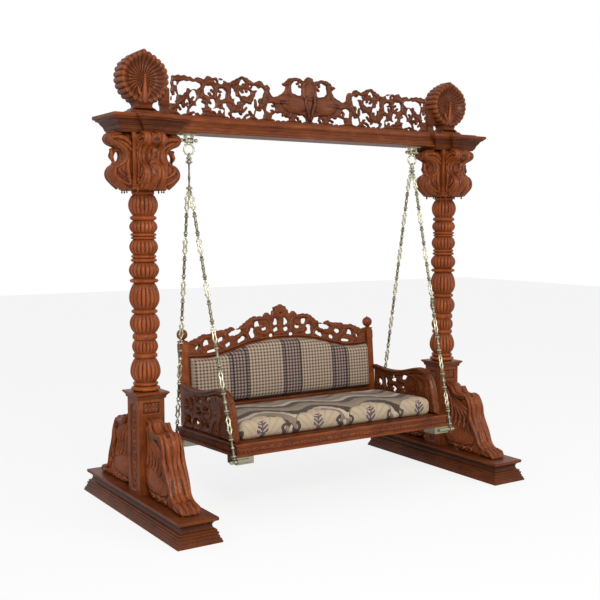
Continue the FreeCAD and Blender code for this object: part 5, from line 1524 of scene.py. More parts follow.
class JHOOLA_OT_hangers(bpy.types.Operator):
    """Cross pins, shackles and turned fittings from which the chains hang"""
    bl_idname = "jhoola.hangers"
    bl_label = "Hangers"

    def execute(self, context):
        for side, sign in SIDES:
            x = sign * HANGER_X
            refinish(side + "_beam_lug", "brass")
            along_x = at(x, 0, PIN_LEVEL) @ Matrix.Rotation(math.pi / 2, 4, "Y")
            pin = turning([(1, -45), (5, -44), (8, -41), (9, -37), (8, -33), (6, -30), (5.8, -29), (5.8, 29), (6, 30),
                           (8, 33), (9, 37), (8, 41), (5, 44), (1, 45)], 24)
            finished_piece(side + "_ball_pin", Form().join(pin, along_x), "brass", "stand", "brass",
                           [side + "_cross_pin"], sharp=50)
            form = Form().join(turning([(10, -14), (12.6, -13), (13, -11), (11.6, -8), (11.6, -5), (13, -3), (13, 3),
                                        (11.6, 5), (11.6, 8), (13, 11), (12.6, 13), (10, 14)], 28), along_x)
            form.join(turning([(7, 1732), (8, 1737), (6.5, 1741), (7, 1748)], 20), at(x, 0, 0))
            form.join(hoop(RING_RADIUS, 4.2, 40, 12), at(x, 0, RING_LEVEL))
            for turn in range(RING_BEADS):
                angle = 2 * math.pi * (turn + 0.5) / RING_BEADS
                form.join(turning([(0.5, -3.4), (2.6, -2.4), (3.4, 0), (2.6, 2.4), (0.5, 3.4)], 8),
                          at(x + RING_BEADS_RADIUS * math.cos(angle), 0,
                             RING_LEVEL + RING_BEADS_RADIUS * math.sin(angle)))
            finished_piece(side + "_ring_shackle", form, "brass", side + "_hanger", "brass", [side + "_shackle"],
                           sharp=50)
            fork = FORK_LEVEL[side]
            eye = Matrix.Rotation(math.pi / 2, 4, "Z")
            form = Form().join(hoop(10.6, 3.2, 28, 10), at(x, 0, EYE_LEVEL) @ eye)
            top = STEM_TOP
            stem = [(4, top), (6, top - 3), (4.5, top - 6), (10.5, top - 14), (11.5, top - 20), (9, top - 26),
                    (5, top - 30)]
            low = fork + 22.0
            if top - 30 - low > 60:
                span = top - 34 - low
                stem += [(4.4, top - 34), (3.6, top - 34 - span * 0.3), (5.2, top - 34 - span * 0.42),
                         (6.4, top - 34 - span * 0.5), (5.2, top - 34 - span * 0.58), (3.8, low + span * 0.28)]
            stem += [(5, low + 16), (9, low + 12), (10.5, low + 7), (8, low + 2), (5.5, low - 6)]
            form.join(turning(sorted(stem, key=lambda item: item[1]), 20), at(x, 0, 0))
            for level, wide in ((top - 2.0, 9.0), (top - 19.0, 12.0), (fork + 29.0, 11.0)):
                form.join(hoop(wide, 2.4, 24, 8), at(x, 0, level) @ Matrix.Rotation(math.pi / 2, 4, "X"))
                for turn in range(6):
                    angle = math.pi * turn / 3
                    form.join(turning([(0.5, -6.5), (3.0, -4), (4.2, 0), (3.0, 4), (0.5, 6.5)], 8),
                              at(x + (wide + 2.0) * math.cos(angle), (wide + 2.0) * math.sin(angle), level))
            plate = Carving((-30, -11), (30, 24), 0.9)
            plate.board(softened([(-20, -10), (20, -10), (30, 0), (26, 10), (12, 20), (6, 24), (-6, 24), (-12, 20),
                                  (-26, 10), (-30, 0)], 1))
            for y in (-20, 20):
                plate.pierce([(y + 6 * math.cos(t), 6 * math.sin(t)) for t in np.linspace(0, 2 * math.pi, 13)[:-1]], 6)
                plate.rib([(y, 9.0), (y * 0.6, 12.0), (0, 14)], [2.5, 2.5, 3], 1.0)
            form.join(plate.form(lambda inside, relief: 1.6 + 1.4 * smooth_step(inside / 3.0) + relief,
                                 hollow_depth=1.0, place=at(x, 0, fork) @ FACING_SIDE))
            finished_piece(side + "_turned_fitting", form, "brass", side + "_chain", "brass", [side + "_fitting"],
                           sharp=50)
        return {"FINISHED"}


def rod_bar(upper, lower, upper_hole, lower_hole):
    """A long link: an eye at each end and a beaded turned rod between, along Z down from the strand's start."""
    form = Form()
    first, last = upper + upper_hole, lower - lower_hole
    for centre, hole in ((first, upper_hole), (last, lower_hole)):
        form.join(hoop(hole + 2.0, 2.1, 20, 8), at(0, 0, -centre))
    start, end = first + upper_hole + 3.0, last - lower_hole - 3.0
    run = end - start
    line = [(3.6, 0), (8.0, 2), (9.6, 5), (7.4, 8), (5.6, 10), (10.0, 14), (12.0, 17), (10.4, 20), (6.6, 24), (5.8, 27),
            (6.6, run * 0.5 - 12), (6.6, run * 0.5 - 6), (9.2, run * 0.5 - 2), (9.2, run * 0.5 + 2),
            (6.6, run * 0.5 + 6), (6.6, run * 0.5 + 12), (5.8, run - 27), (6.6, run - 24), (10.4, run - 20),
            (12.0, run - 17), (10.0, run - 14), (5.6, run - 10), (7.4, run - 8), (9.6, run - 5), (8.0, run - 2),
            (3.6, run)]
    if run < 70:
        line = line[:10] + line[16:]
    form.join(turning([(radius, -start - place) for radius, place in reversed(line)], 14))
    return form


def ring_bar(upper, lower):
    """A short open link with a pinched middle and a small flower on each side."""
    length = lower - upper
    middle = (upper + lower) / 2
    form = Form()
    for side in (-1, 1):
        line = [(0, 0, -upper + 1.6), (side * 5.0, 0, -upper - 1.0), (side * 8.6, 0, -upper - length * 0.20),
                (side * 6.6, 0, -upper - length * 0.38), (side * 4.6, 0, -middle),
                (side * 6.6, 0, -lower + length * 0.38), (side * 8.6, 0, -lower + length * 0.20),
                (side * 5.0, 0, -lower + 1.0), (0, 0, -lower - 1.6)]
        form.join(tube(line, [3.0, 3.4, 4.4, 4.2, 5.4, 4.2, 4.4, 3.4, 3.0], 8))
        for share in (0.20, 0.5, 0.80):
            form.join(turning([(0.6, -5.5), (4.2, -3.6), (5.6, 0), (4.2, 3.6), (0.6, 5.5)], 10),
                      at(side * (9.5 if share != 0.5 else 5.6), 0, -upper - length * share))
    return form


class JHOOLA_OT_chains(bpy.types.Operator):
    """Four chains of long turned rods and short open links"""
    bl_idname = "jhoola.chains"
    bl_label = "Chains"

    def execute(self, context):
        for side, sign in SIDES:
            for end, fork_y in (("front", -20.0), ("back", 20.0)):
                top = Vector((sign * HANGER_X, fork_y, FORK_LEVEL[side]))
                bottom = hung_point(sign * HOOK_X, STUD_Y[end], STUD_LEVEL)
                run = bottom - top
                down = run.normalized()
                across = (Vector((1, 0, 0)) - down * down.x).normalized()
                sideways = down.cross(across)
                pairs = CHAIN_PAIRS[side]
                link_hole, stud_hole, play = 4.5, 6.5, 0.25
                bearing = 6.0 - 0.8
                pair = (run.length + stud_hole - bearing + 2 * pairs * play) / pairs
                ring_length = 0.34 * pair
                flat = Matrix((across[:], (-sideways)[:], (-down)[:])).transposed().to_4x4()
                turned_flat = Matrix((sideways[:], across[:], (-down)[:])).transposed().to_4x4()
                form = Form()
                for index in range(pairs):
                    upper = bearing - play
                    lower = upper + ring_length
                    form.join(ring_bar(upper, lower), Matrix.Translation(top) @ flat)
                    upper = lower - play
                    lower = upper + pair - ring_length
                    last = stud_hole if index == pairs - 1 else link_hole
                    form.join(rod_bar(upper, lower, link_hole, last), Matrix.Translation(top) @ turned_flat)
                    bearing = lower
                finished_piece(side + "_" + end + "_beaded_chain", form, "brass", side + "_chain", "brass",
                               [side + "_" + end + "_chain"], sharp=50)
        return {"FINISHED"}


# ---------------------------------------------------------------------------------------------
# The seat
# ---------------------------------------------------------------------------------------------

class JHOOLA_OT_seat_frame(bpy.types.Operator):
    """Apron rails with a carved leaf strip, the seat board, corner blocks and studs"""
    bl_idname = "jhoola.seat_frame"
    bl_label = "Seat frame"

    def execute(self, context):
        half_x, half_y, middle = 633.0, 312.5, -56.5
        line = curve_line([
            (45, 290.2), (6, 290.0), (2, 290.5), ((-0.5, 294), (1, 298)), (3, 299.5), (6.5, 301), (7, 303), (7, 336),
            (6.5, 338), (3, 339.5), ((-0.5, 343), (1, 347)), (3, 349), (44, 349.0)])
        insets = np.array([inset for inset, _ in line])
        corners = np.array([(-half_x, -half_y), (half_x, -half_y), (half_x, half_y), (-half_x, half_y)])
        names = ("front_apron", "right_apron", "back_apron", "left_apron")
        for index, node in enumerate(names):
            start, end = corners[index], corners[(index + 1) % 4]
            along = (end - start) / np.linalg.norm(end - start)
            inward = np.array([-along[1], along[0]])
            length = np.linalg.norm(end - start)
            stations = []
            for base, away in ((start, 1), (end, -1)):
                spots = [base + inward * inset + along * (away * inset) for inset, _ in line]
                stations.append([(spot[0], spot[1] + middle, level) for spot, (_, level) in zip(spots, line)])
            # Painted shade in the recessed steps of the apron's profile
            form = Form().add(np.concatenate(stations), ring_faces(2, len(line)),
                              np.tile(hollow_of_line(insets, 3), 2))
            count = int(length / 22.0)
            strip = Carving((0, 302), (length, 337), 1.9)
            strip.board([(8, 302.5), (length - 8, 302.5), (length - 8, 336.5), (8, 336.5)])
            pitch = (length - 24) / count
            for leaf in range(count):
                spot = 12 + (leaf + 0.5) * pitch
                for tip in (327, 311):
                    strip.rib([(spot - pitch * 0.36, 319.5), (spot, tip), (spot + pitch * 0.34, 319.5)],
                              [2.2, 3.8, 2.0], 3.4)
                strip.rib([(spot + pitch * 0.5, 308), (spot + pitch * 0.5, 331)], [2.0, 2.0], 2.4)
            # Painted shade in the leaf strip's recesses and along its edges
            carved = strip.form(lambda inside, relief: 0.3 + relief, two_sided=False, edge_shade=0.6,
                                hollow_depth=0.9)
            face = Matrix(((along[0], 0, -inward[0], start[0] + inward[0] * 7.0),
                           (along[1], 0, -inward[1], start[1] + inward[1] * 7.0 + middle),
                           (0, 1, 0, 0), (0, 0, 0, 1)))
            form.join(carved, face)
            # Painted shade: the side aprons take the darker copy of the teak
            body_finish = "apron_teak" if index % 2 == 0 else "teak_y"
            finished_piece(node + "_carved", form, body_finish, "seat", "wood", [node], SEAT_PLACE, sharp=35)
        refinish("seat_board", "teak_x")
        for node in ("corner_blocks", "corner_studs", "lug_screws"):
            refinish(node, "darker_brass")
        return {"FINISHED"}


# Seat crest, right half, in millimetres from the middle and above its base
SEAT_CREST_TOP = [
    (565, 100), (546, 100), (512, 111), (481, 127), (455, 132), (430, 129), (401, 143), (364, 146), (328, 149),
    (312, 158), (300, 160), (284, 150), (271, 145), (256, 150), (243, 160), (218, 178), (195, 195), (176, 204),
    (150, 207), (118, 204), (105, 207), (98, 219), (90, 226), (80, 222), (66, 212), (54, 214), (50, 232), (38, 250),
    (20, 260), (0, 264),
]
SEAT_CREST_FOOT = [(0, 84), (90, 83), (215, 66), (334, 32), (438, 11), (565, 15)]
SEAT_CREST_HOLES = [
    [(18, 154), (47, 160), (40, 184), (24, 190)],
    [(18, 122), (46, 118), (44, 138), (20, 140)],
    [(90, 130), (120, 132), (118, 142), (94, 146)],
    [(128, 156), (160, 150), (166, 172), (140, 182)],
    [(50, 92), (76, 94), (74, 108), (52, 106)],
    [(158, 100), (190, 96), (196, 120), (186, 144), (164, 140), (172, 120)],
    [(222, 92), (262, 72), (268, 84), (232, 110)],
    [(246, 126), (300, 112), (320, 124), (300, 136), (256, 144)],
    [(312, 66), (336, 54), (342, 70), (318, 82)],
    [(352, 96), (380, 84), (388, 100), (360, 112)],
    [(396, 40), (446, 34), (448, 44), (402, 52)],
    [(436, 78), (468, 72), (470, 94), (446, 102)],
    [(496, 58), (512, 54), (514, 70), (500, 74)],
]
SEAT_CREST_RIBS = [
    ([(0, 200), (20, 214), (34, 234), (20, 250), (0, 254)], [9, 10, 8, 7, 6]),
    ([(10, 110), (40, 108), (66, 130), (66, 170), (90, 200), (112, 190)], [8, 9, 9, 9, 8, 4]),
    ([(100, 112), (140, 116), (150, 140), (180, 176), (210, 160), (216, 130)], [8, 9, 9, 10, 9, 5]),
    ([(120, 194), (160, 196), (200, 178), (236, 148)], [6, 9, 9, 6]),
    ([(206, 90), (216, 116), (236, 124), (270, 108), (300, 92)], [6, 8, 9, 8, 5]),
    ([(290, 146), (330, 138), (344, 116), (334, 94)], [7, 9, 8, 4]),
    ([(300, 60), (350, 46), (372, 66), (400, 82), (420, 110), (400, 128)], [6, 8, 9, 9, 9, 5]),
    ([(430, 116), (470, 114), (490, 92), (484, 64)], [7, 9, 8, 4]),
    ([(390, 26), (440, 22), (480, 40), (520, 90), (546, 90)], [5, 7, 8, 8, 5]),
    ([(0, 96), (90, 94), (215, 78), (334, 44), (438, 24), (560, 26)], [5, 5, 5, 5, 5, 5]),
]


class JHOOLA_OT_seat_back(bpy.types.Operator):
    """Back posts with ball finials, lower rail, board and the pierced crest"""
    bl_idname = "jhoola.seat_back"
    bl_label = "Seat back"

    def execute(self, context):
        post = Form()
        post.join(moulding(rectangle(20.5, 20.5), curve_line([
            (0, 352), (0, 400), (1.5, 402), (1.5, 720), (0, 722), (0, 764), (2, 768), (3, 770), (3, 774), (0, 776),
            (0, 779), (2, 781)])))
        post.join(turning([(17, 780.5), (15, 783), (11, 785), (11, 788), (15, 789.5), (19, 793), (24, 798), (27, 805),
                           (28, 812), (27, 821), (24, 828), (19, 834), (12, 838), (6, 840), (3, 843), (2.5, 845),
                           (0.5, 846)], 36, 12, 1.6))
        for side, sign in SIDES:
            form = Form().join(post, at(sign * POST_X, POST_AXIS, 0))
            finished_piece(side + "_moulded_back_post", form, "teak_z", "seat", "wood", [side + "_back_post"],
                           BACK_PLACE, sharp=35)
        rail = curve_line([(13, 400), (15, 402), (15, 408), (12, 410), (12, 430), (15, 432), (15, 437), (13, 440)])
        form = Form().join(bar_along_x(rail, BACK_HALF_WIDTH), at(0, POST_AXIS, 0))
        finished_piece("moulded_lower_rail", form, "teak_x", "seat", "wood", ["lower_back_rail"], BACK_PLACE,
                       sharp=35)
        refinish("back_board", "teak_x")
        both = with_mirror(SEAT_CREST_FOOT + SEAT_CREST_TOP)
        carving = carving_round(both).board(both)
        for sign in (1, -1):
            for hole in SEAT_CREST_HOLES:
                carving.pierce(softened([(sign * a, b) for a, b in widened(hole, 1.2)], 1), 14.0)
            for line, widths in SEAT_CREST_RIBS:
                carving.rib([(sign * a, b) for a, b in line], widths, 5.0)
        shell = 222.0
        for petal in range(-3, 4):
            turn = petal * math.pi / 7.5
            carving.rib([(10 * math.sin(turn), shell + 6 * math.cos(turn)),
                         (31 * math.sin(turn), shell + 4 + 31 * math.cos(turn))], [4, 8], 7.0)
        lobed = np.abs(np.sin(np.arctan2(carving.across, carving.up - shell) * 3.75 + math.pi / 2))
        carving.inside -= 5.0 * (1.0 - lobed) * smooth_step((carving.up - shell) / 12.0) * (np.abs(carving.across) < 46)
        waves = 3.4 * np.sin(carving.across / 5.4) * np.sin(carving.up / 5.8 + carving.across / 60.0)
        low_edge = smooth_step((carving.up - 30.0 - 60.0 * (1 - (np.abs(carving.across) / 565.0) ** 1.5)) / 20.0)
        carving.inside += waves * low_edge * smooth_step(1.0 - np.abs(carving.inside) / 9.0)
        form = carving.form(crest_face(14.0, 9.0, 0.5), hollow_depth=2.6,
                            place=at(0, POST_AXIS, CREST_BASE) @ FACING_FRONT)
        finished_piece("carved_seat_crest", form, "carved_teak_across", "seat", "wood", ["back_crest"], BACK_PLACE,
                       sharp=50)
        return {"FINISHED"}


# Arm in side view: distance forward of the post's axis and height over the seat frame
ARM_TOP = [(14, 222), (137, 203), (228, 204), (313, 218), (399, 237), (450, 232), (490, 213)]
ARM_FRONT = [(519, 190), (542, 133), (550, 73), (564, 19), (564, 0)]
ARM_HOLES = [
    [(57, 24), (120, 19), (109, 62), (57, 76)], [(51, 104), (86, 95), (97, 133), (57, 152)],
    [(114, 90), (143, 104), (137, 152), (109, 161)], [(149, 24), (206, 24), (189, 62), (149, 57)],
    [(177, 85), (229, 76), (217, 109), (177, 119)], [(166, 142), (217, 137), (217, 171), (177, 171)],
    [(240, 33), (297, 24), (286, 66), (246, 71)], [(257, 100), (303, 90), (309, 123), (263, 133)],
    [(257, 156), (314, 152), (320, 180), (275, 185)],
]
ARM_RIBS = [
    ([(30, 10), (46, 50), (100, 86), (132, 70), (130, 36)], [6, 8, 8, 7, 4]),
    ([(36, 92), (70, 84), (106, 96), (104, 150), (70, 168)], [6, 7, 8, 8, 5]),
    ([(126, 12), (132, 50), (160, 74), (214, 70), (226, 30)], [6, 8, 8, 8, 5]),
    ([(150, 170), (160, 130), (190, 128), (236, 126), (244, 84)], [6, 8, 8, 8, 5]),
    ([(226, 180), (240, 150), (300, 140), (330, 110), (310, 80)], [6, 8, 8, 8, 5]),
    ([(330, 190), (372, 186), (396, 150), (384, 110), (352, 112)], [7, 10, 11, 9, 5]),
    ([(330, 20), (340, 60), (372, 86), (400, 70), (392, 44)], [7, 10, 10, 8, 5]),
    ([(430, 190), (466, 188), (492, 160), (488, 110), (506, 60), (530, 10)], [10, 14, 15, 14, 14, 10]),
    ([(440, 216), (480, 196), (500, 176), (486, 168)], [8, 9, 7, 4]),
    ([(420, 10), (416, 60), (440, 100), (446, 140), (424, 160)], [7, 10, 12, 10, 5]),
    ([(380, 10), (404, 40), (400, 70)], [9, 8, 4]),
]


class JHOOLA_OT_arms(bpy.types.Operator):
    """Two arms: a moulded rest over a pierced panel with a scrolled front"""
    bl_idname = "jhoola.arms"
    bl_label = "Arms"

    def execute(self, context):
        under = [(a, b - 27.0) for a, b in ARM_TOP[:-1]]
        outline = [(20, 0)] + [(20, under[0][1])] + under + [ARM_TOP[-1]] + ARM_FRONT
        outline = [outline[0]] + [tuple(p) for p in softened(outline[1:-1], closed=False)] + [outline[-1]]
        carving = carving_round(outline).board(outline)
        for hole in ARM_HOLES:
            carving.pierce(softened(hole), 14.0)
        carving.leaf_tips([softened(hole, 1) for hole in ARM_HOLES], random.Random(11), 0.45, 5.5)
        for line, widths in ARM_RIBS:
            carving.rib(line, widths, 5.5)
        thin = crest_face(12.5, 10.0, 0.6)
        front = 10.0 * smooth_step((carving.across - 392.0) / 14.0)

        def face(inside, relief):
            return thin(inside, relief) + front * smooth_step(inside / 12.0)
        flat = carving.form(face, hollow_depth=2.6)
        side_on = Matrix(((0, 0, 1, ARM_X), (-1, 0, 0, POST_AXIS), (0, 1, 0, APRON_TOP), (0, 0, 0, 1)))
        panel = Form().join(flat, side_on, mirrored_place=True)
        line = softened(ARM_TOP, 3, closed=False)
        half = [(0, 0.0), ((4, -0.2), (7, -3.8)), (9, -5.0), (11, -3.8), ((13, -0.4), (17, -0.6)), ((23, -1), (23, -9)),
                (21, -12), (16, -13), (16, -15), (18, -20), (17, -25), (13, -27)]
        half = curve_line(half, 4)
        section = [(-across, up) for across, up in reversed(half[1:])] + half
        # The rest is slim at its back, where the back chains pass close by it in a sway
        slim = 0.62 + 0.38 * smooth_step((line[:, 0] - 95.0) / 70.0)
        rings = [[(ARM_X + across * share, POST_AXIS - a, APRON_TOP + b + up) for across, up in section]
                 for (a, b), share in zip(line, slim)]
        # Painted shade in the grooves along the rest's top and under its lip
        rest = Form().add(np.concatenate(rings), flipped(ring_faces(len(rings), len(section))),
                          np.tile([0.7 if -17 < up < -12 or 6.5 < abs(across) < 11.5 else 0.0
                                   for across, up in section], len(rings)))
        for side, sign in SIDES:
            finished_piece(side + "_carved_arm_panel", Form().join(panel, flip_x=sign < 0), "carved_teak_arm", "seat",
                           "wood", [side + "_arm_panel"], SEAT_PLACE, sharp=50)
            finished_piece(side + "_moulded_arm_rest", Form().join(rest, flip_x=sign < 0), "teak_y", "seat", "wood",
                           [side + "_arm_rest"], SEAT_PLACE, sharp=40)
        return {"FINISHED"}


def pillow_form(half_x, y0, y1, z0, z1, crown, corner):
    """A crowned cushion with rounded corners, as one closed skin."""
    nx, ny, nz = 96, 44, 10
    middle = np.array([0.0, (y0 + y1) / 2, (z0 + z1) / 2])
    half = np.array([half_x, (y1 - y0) / 2, (z1 - z0) / 2])
    points, faces, index = [], [], {}

    def vertex(i, j, k):
        key = (i, j, k)
        if key not in index:
            index[key] = len(points)
            spot = np.array([2.0 * i / nx - 1, 2.0 * j / ny - 1, 2.0 * k / nz - 1]) * half
            core = np.clip(spot, -(half - corner), half - corner)
            out = spot - core
            length = np.linalg.norm(out)
            if length > 1e-9:
                spot = core + out * (corner / max(length, corner))
            share_x, share_y = spot[0] / half[0], spot[1] / half[1]
            if spot[2] > 0:
                spot[2] += -crown + crown * (1 - share_x ** 4) * (1 - share_y ** 4)
            points.append(middle + spot)
        return index[key]
    for i in range(nx):
        for j in range(ny):
            faces.append((vertex(i, j, nz), vertex(i + 1, j, nz), vertex(i + 1, j + 1, nz), vertex(i, j + 1, nz)))
            faces.append((vertex(i, j, 0), vertex(i, j + 1, 0), vertex(i + 1, j + 1, 0), vertex(i + 1, j, 0)))
    for i in range(nx):
        for k in range(nz):
            faces.append((vertex(i, 0, k), vertex(i + 1, 0, k), vertex(i + 1, 0, k + 1), vertex(i, 0, k + 1)))
            faces.append((vertex(i, ny, k), vertex(i, ny, k + 1), vertex(i + 1, ny, k + 1), vertex(i + 1, ny, k)))
    for j in range(ny):
        for k in range(nz):
            faces.append((vertex(0, j, k), vertex(0, j, k + 1), vertex(0, j + 1, k + 1), vertex(0, j + 1, k)))
            faces.append((vertex(nx, j, k), vertex(nx, j + 1, k), vertex(nx, j + 1, k + 1), vertex(nx, j, k + 1)))
    return Form().add(points, faces)


def swollen(piece, limit):
    """Swell a cushion's cover with the cloth solver, and let no point move further than the limit."""
    rest = np.array([v.co for v in piece.data.vertices])
    last_frame = 20
    cloth = piece.modifiers.new("Cover", "CLOTH")
    settings = cloth.settings
    settings.use_pressure = True
    settings.uniform_pressure_force = 4.0
    settings.effector_weights.gravity = 0.0
    settings.tension_stiffness = 20.0
    settings.bending_stiffness = 4.0
    cloth.collision_settings.use_collision = False
    scene = bpy.context.scene
    for number in range(1, last_frame + 1):
        scene.frame_set(number)
    held = bpy.context.evaluated_depsgraph_get()
    shape = piece.evaluated_get(held).to_mesh()
    moved = np.array([v.co for v in shape.vertices])
    piece.evaluated_get(held).to_mesh_clear()
    piece.modifiers.remove(cloth)
    scene.frame_set(1)
    shift = moved - rest
    length = np.linalg.norm(shift, axis=1)[:, None]
    shift *= np.minimum(1.0, limit / np.maximum(length, 1e-9))
    piece.data.vertices.foreach_set("co", (rest + shift).ravel().astype(np.float32))
    piece.data.update()


def upholstered(name, form, finish, slot, node, place, swell):
    """A padded piece of the seat, its cover swollen by the cloth solver."""
    piece = finished_piece(name, form, finish, "seat", slot, [node], place, sharp=180)
    swollen(piece, swell)
    smooth = piece.modifiers.new("Smooth cover", "SUBSURF")
    smooth.levels = smooth.render_levels = 1


class JHOOLA_OT_cushion(bpy.types.Operator):
    """The seat cushion in floral damask"""
    bl_idname = "jhoola.cushion"
    bl_label = "Seat cushion"

    def execute(self, context):
        form = pillow_form(577.0, -313.0, 154.0, 350.0, 446.0, 10.0, 30.0)
        upholstered("damask_cushion", form, "cushion_damask", "damask", "seat_cushion", SEAT_PLACE,
                    context.scene.jhoola_fabric.swell)
        return {"FINISHED"}


PAD_TOP = [(0.0, 84.0), (90.0, 83.0), (215.0, 66.0), (334.0, 32.0), (438.0, 11.0), (560.0, 14.5)]


class JHOOLA_OT_pad(bpy.types.Operator):
    """The arched back pad in a fine check"""
    bl_idname = "jhoola.pad"
    bl_label = "Back pad"

    def execute(self, context):
        columns, rows, layers = 120, 34, 6
        back = POST_AXIS - 14.3
        front = back - 50.0
        xs = np.linspace(-PAD_HALF_WIDTH, PAD_HALF_WIDTH, columns + 1)
        top_line = softened(PAD_TOP, closed=False)
        tops = CREST_BASE + np.interp(np.abs(xs), top_line[:, 0], top_line[:, 1]) - 1.5
        bottom = 448.0
        edge_radius = 26.0
        points = []
        share_x = np.abs(np.linspace(-1, 1, columns + 1))
        share_z = np.linspace(-1, 1, rows + 1)
        for layer in range(layers + 1):
            for row in range(rows + 1):
                spots_z = bottom + (tops - bottom) * (share_z[row] + 1) / 2
                puff = (round_over(PAD_HALF_WIDTH - np.abs(xs), edge_radius)
                        * round_over(np.minimum(spots_z - bottom, tops - spots_z), edge_radius))
                crown = 0.80 + 0.20 * (1 - share_x ** 4) * (1 - abs(share_z[row]) ** 3)
                depth = (back - front) * (0.30 + 0.70 * puff) * crown
                y = back - depth * layer / layers
                points.append(np.column_stack([xs, y, spots_z]))
        grid = np.array(points).reshape(layers + 1, rows + 1, columns + 1, 3)
        stride_row, stride_layer = columns + 1, (rows + 1) * (columns + 1)

        def number(layer, row, column):
            return layer * stride_layer + row * stride_row + column
        faces = []
        for row in range(rows):
            for column in range(columns):
                faces.append((number(layers, row, column), number(layers, row, column + 1),
                              number(layers, row + 1, column + 1), number(layers, row + 1, column)))
                faces.append((number(0, row, column), number(0, row + 1, column), number(0, row + 1, column + 1),
                              number(0, row, column + 1)))
        for layer in range(layers):
            for column in range(columns):
                faces.append((number(layer, 0, column), number(layer, 0, column + 1), number(layer + 1, 0, column + 1),
                              number(layer + 1, 0, column)))
                faces.append((number(layer, rows, column), number(layer + 1, rows, column),
                              number(layer + 1, rows, column + 1), number(layer, rows, column + 1)))
            for row in range(rows):
                faces.append((number(layer, row, 0), number(layer + 1, row, 0), number(layer + 1, row + 1, 0),
                              number(layer, row + 1, 0)))
                faces.append((number(layer, row, columns), number(layer, row + 1, columns),
                              number(layer + 1, row + 1, columns), number(layer + 1, row, columns)))
        used = sorted(set(i for face in faces for i in face))
        renumber = {old: new for new, old in enumerate(used)}
        form = Form().add(grid.reshape(-1, 3)[used], [tuple(renumber[i] for i in face) for face in faces])
        upholstered("check_back_pad", form, "pad_check", "check", "back_pad", BACK_PLACE,
                    context.scene.jhoola_fabric.swell * 0.5)
        return {"FINISHED"}


# ---------------------------------------------------------------------------------------------
# Stage
# ---------------------------------------------------------------------------------------------

# Camera fitted to the photograph: place in metres, turns in degrees, lens and sensor in millimetres
CAMERA_PLACE = (-2.6801, -4.0644, 1.3647)
CAMERA_YAW, CAMERA_PITCH, CAMERA_ROLL = -33.3, 90 - 5.2, 0.056
CAMERA_LENS, CAMERA_SENSOR = 56.88, 36.0
CAMERA_SHIFT = (-0.0118, 0.0160)
LAMP_AIM = (0.0, 0.0, 0.9)
FLOOR_REACH = 14.0
FLOOR_LEVEL = -0.001


def placed(name, data):
    """A new object in the scene."""
    made = bpy.data.objects.new(name, data)
    bpy.context.scene.collection.objects.link(made)
    return made


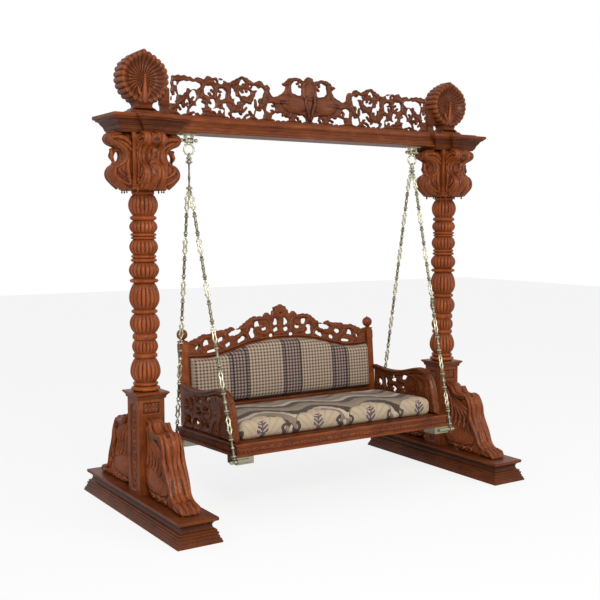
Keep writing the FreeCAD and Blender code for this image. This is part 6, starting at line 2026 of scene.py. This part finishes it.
class JHOOLA_OT_stage(bpy.types.Operator):
    """Pale floor, soft lamps and the camera"""
    bl_idname = "jhoola.stage"
    bl_label = "Stage"

    def execute(self, context):
        scene = context.scene
        sizes = scene.jhoola_stage
        scene.view_settings.view_transform = "Standard"
        finish = Finish("studio_floor")
        path = finish.node("ShaderNodeLightPath")
        glow = finish.node("ShaderNodeEmission")
        glow.inputs["Color"].default_value = (1, 1, 1, 1)
        mix = finish.node("ShaderNodeMixShader")
        speck = finish.noise(finish.spot, 3.0, 2.0)
        finish.link(finish.ramp(speck, [(0.0, sizes.floor), (1.0, tuple(min(1.0, v * 1.02) for v in sizes.floor))]),
                    finish.shader.inputs["Base Color"])
        finish.shader.inputs["Roughness"].default_value = 0.9
        finish.link(finish.math("MULTIPLY", path.outputs["Is Camera Ray"], 0.81), mix.inputs[0])
        finish.link(finish.shader.outputs[0], mix.inputs[1])
        finish.link(glow.outputs[0], mix.inputs[2])
        finish.link(mix.outputs[0], finish.out.inputs[0])
        mesh = bpy.data.meshes.new("studio_floor")
        mesh.from_pydata([(x, y, FLOOR_LEVEL) for x, y in rectangle(FLOOR_REACH, FLOOR_REACH)], [], [(0, 1, 2, 3)])
        mesh.materials.append(finish.material)
        floor = placed("studio_floor", mesh)

        world = bpy.data.worlds.new("studio_light")
        scene.world = world
        world.use_nodes = True
        tree = world.node_tree
        tree.nodes.clear()
        out = tree.nodes.new("ShaderNodeOutputWorld")
        lit, seen = tree.nodes.new("ShaderNodeBackground"), tree.nodes.new("ShaderNodeBackground")
        lit.inputs["Color"].default_value = (1.0, 1.0, 1.0, 1.0)
        seen.inputs["Color"].default_value = (1.0, 1.0, 1.0, 1.0)
        lit.inputs["Strength"].default_value = sizes.daylight
        seen.inputs["Strength"].default_value = 1.0
        rays = tree.nodes.new("ShaderNodeLightPath")
        seen_by = rays.outputs["Is Camera Ray"]
        for kind in ("Is Transmission Ray", "Is Glossy Ray"):
            either = tree.nodes.new("ShaderNodeMath")
            either.operation = "MAXIMUM"
            tree.links.new(seen_by, either.inputs[0])
            tree.links.new(rays.outputs[kind], either.inputs[1])
            seen_by = either.outputs[0]
        mixed = tree.nodes.new("ShaderNodeMixShader")
        tree.links.new(seen_by, mixed.inputs[0])
        tree.links.new(lit.outputs[0], mixed.inputs[1])
        tree.links.new(seen.outputs[0], mixed.inputs[2])
        tree.links.new(mixed.outputs[0], out.inputs[0])

        lamps = (("key_lamp", (-2.2, -4.6, 3.4), 1.8, sizes.key_light),
                 ("fill_lamp", (3.6, -4.2, 3.4), 2.4, sizes.fill_light))
        for name, place, size, power in lamps:
            data = bpy.data.lights.new(name, "AREA")
            data.energy = power
            data.size = size
            lamp = placed(name, data)
            lamp.location = place
            aim = Vector(LAMP_AIM) - Vector(place)
            lamp.rotation_euler = aim.to_track_quat("-Z", "Y").to_euler()

        data = bpy.data.cameras.new("photo_camera")
        data.sensor_width = CAMERA_SENSOR
        data.lens = CAMERA_LENS
        data.shift_x, data.shift_y = CAMERA_SHIFT
        camera = placed("photo_camera", data)
        camera.location = CAMERA_PLACE
        look = (Matrix.Rotation(math.radians(CAMERA_YAW), 4, "Z") @ Matrix.Rotation(math.radians(CAMERA_PITCH), 4, "X")
                @ Matrix.Rotation(math.radians(CAMERA_ROLL), 4, "Z"))
        camera.rotation_euler = look.to_euler()
        scene.camera = camera
        return {"FINISHED"}


STEPS = (
    JHOOLA_OT_stage, JHOOLA_OT_plinths, JHOOLA_OT_pedestals, JHOOLA_OT_columns, JHOOLA_OT_capitals,
    JHOOLA_OT_brackets, JHOOLA_OT_cornices, JHOOLA_OT_beam, JHOOLA_OT_beam_crest, JHOOLA_OT_finials,
    JHOOLA_OT_lions, JHOOLA_OT_hangers, JHOOLA_OT_chains, JHOOLA_OT_seat_frame, JHOOLA_OT_seat_back,
    JHOOLA_OT_arms, JHOOLA_OT_cushion, JHOOLA_OT_pad,
)


class JHOOLA_PT_panel(bpy.types.Panel):
    """Lists the steps and the sizes of the swing's dressing"""
    bl_idname = "JHOOLA_PT_panel"
    bl_label = "Jhoola swing"
    bl_space_type = "VIEW_3D"
    bl_region_type = "UI"
    bl_category = "Jhoola"

    def draw(self, context):
        layout = self.layout
        for group in GROUPS:
            box = layout.box()
            settings = getattr(context.scene, group)
            for key in settings.__annotations__:
                box.prop(settings, key)
        for step in STEPS:
            layout.operator(step.bl_idname)


def register():
    for group, kind in GROUPS.items():
        bpy.utils.register_class(kind)
        setattr(bpy.types.Scene, group, bpy.props.PointerProperty(type=kind))
    for kind in STEPS + (JHOOLA_PT_panel,):
        bpy.utils.register_class(kind)


def unregister():
    for kind in reversed(STEPS + (JHOOLA_PT_panel,)):
        bpy.utils.unregister_class(kind)
    for group, kind in reversed(list(GROUPS.items())):
        delattr(bpy.types.Scene, group)
        bpy.utils.unregister_class(kind)


def main():
    register()
    make_finishes()
    bpy.ops.jhoola.stage()
    bpy.ops.jhoola.plinths()
    bpy.ops.jhoola.pedestals()
    bpy.ops.jhoola.columns()
    bpy.ops.jhoola.capitals()
    bpy.ops.jhoola.brackets()
    bpy.ops.jhoola.cornices()
    bpy.ops.jhoola.beam()
    bpy.ops.jhoola.beam_crest()
    bpy.ops.jhoola.finials()
    bpy.ops.jhoola.lions()
    bpy.ops.jhoola.hangers()
    bpy.ops.jhoola.chains()
    bpy.ops.jhoola.seat_frame()
    bpy.ops.jhoola.seat_back()
    bpy.ops.jhoola.arms()
    bpy.ops.jhoola.cushion()
    bpy.ops.jhoola.pad()


if __name__ == "__main__":
    main()
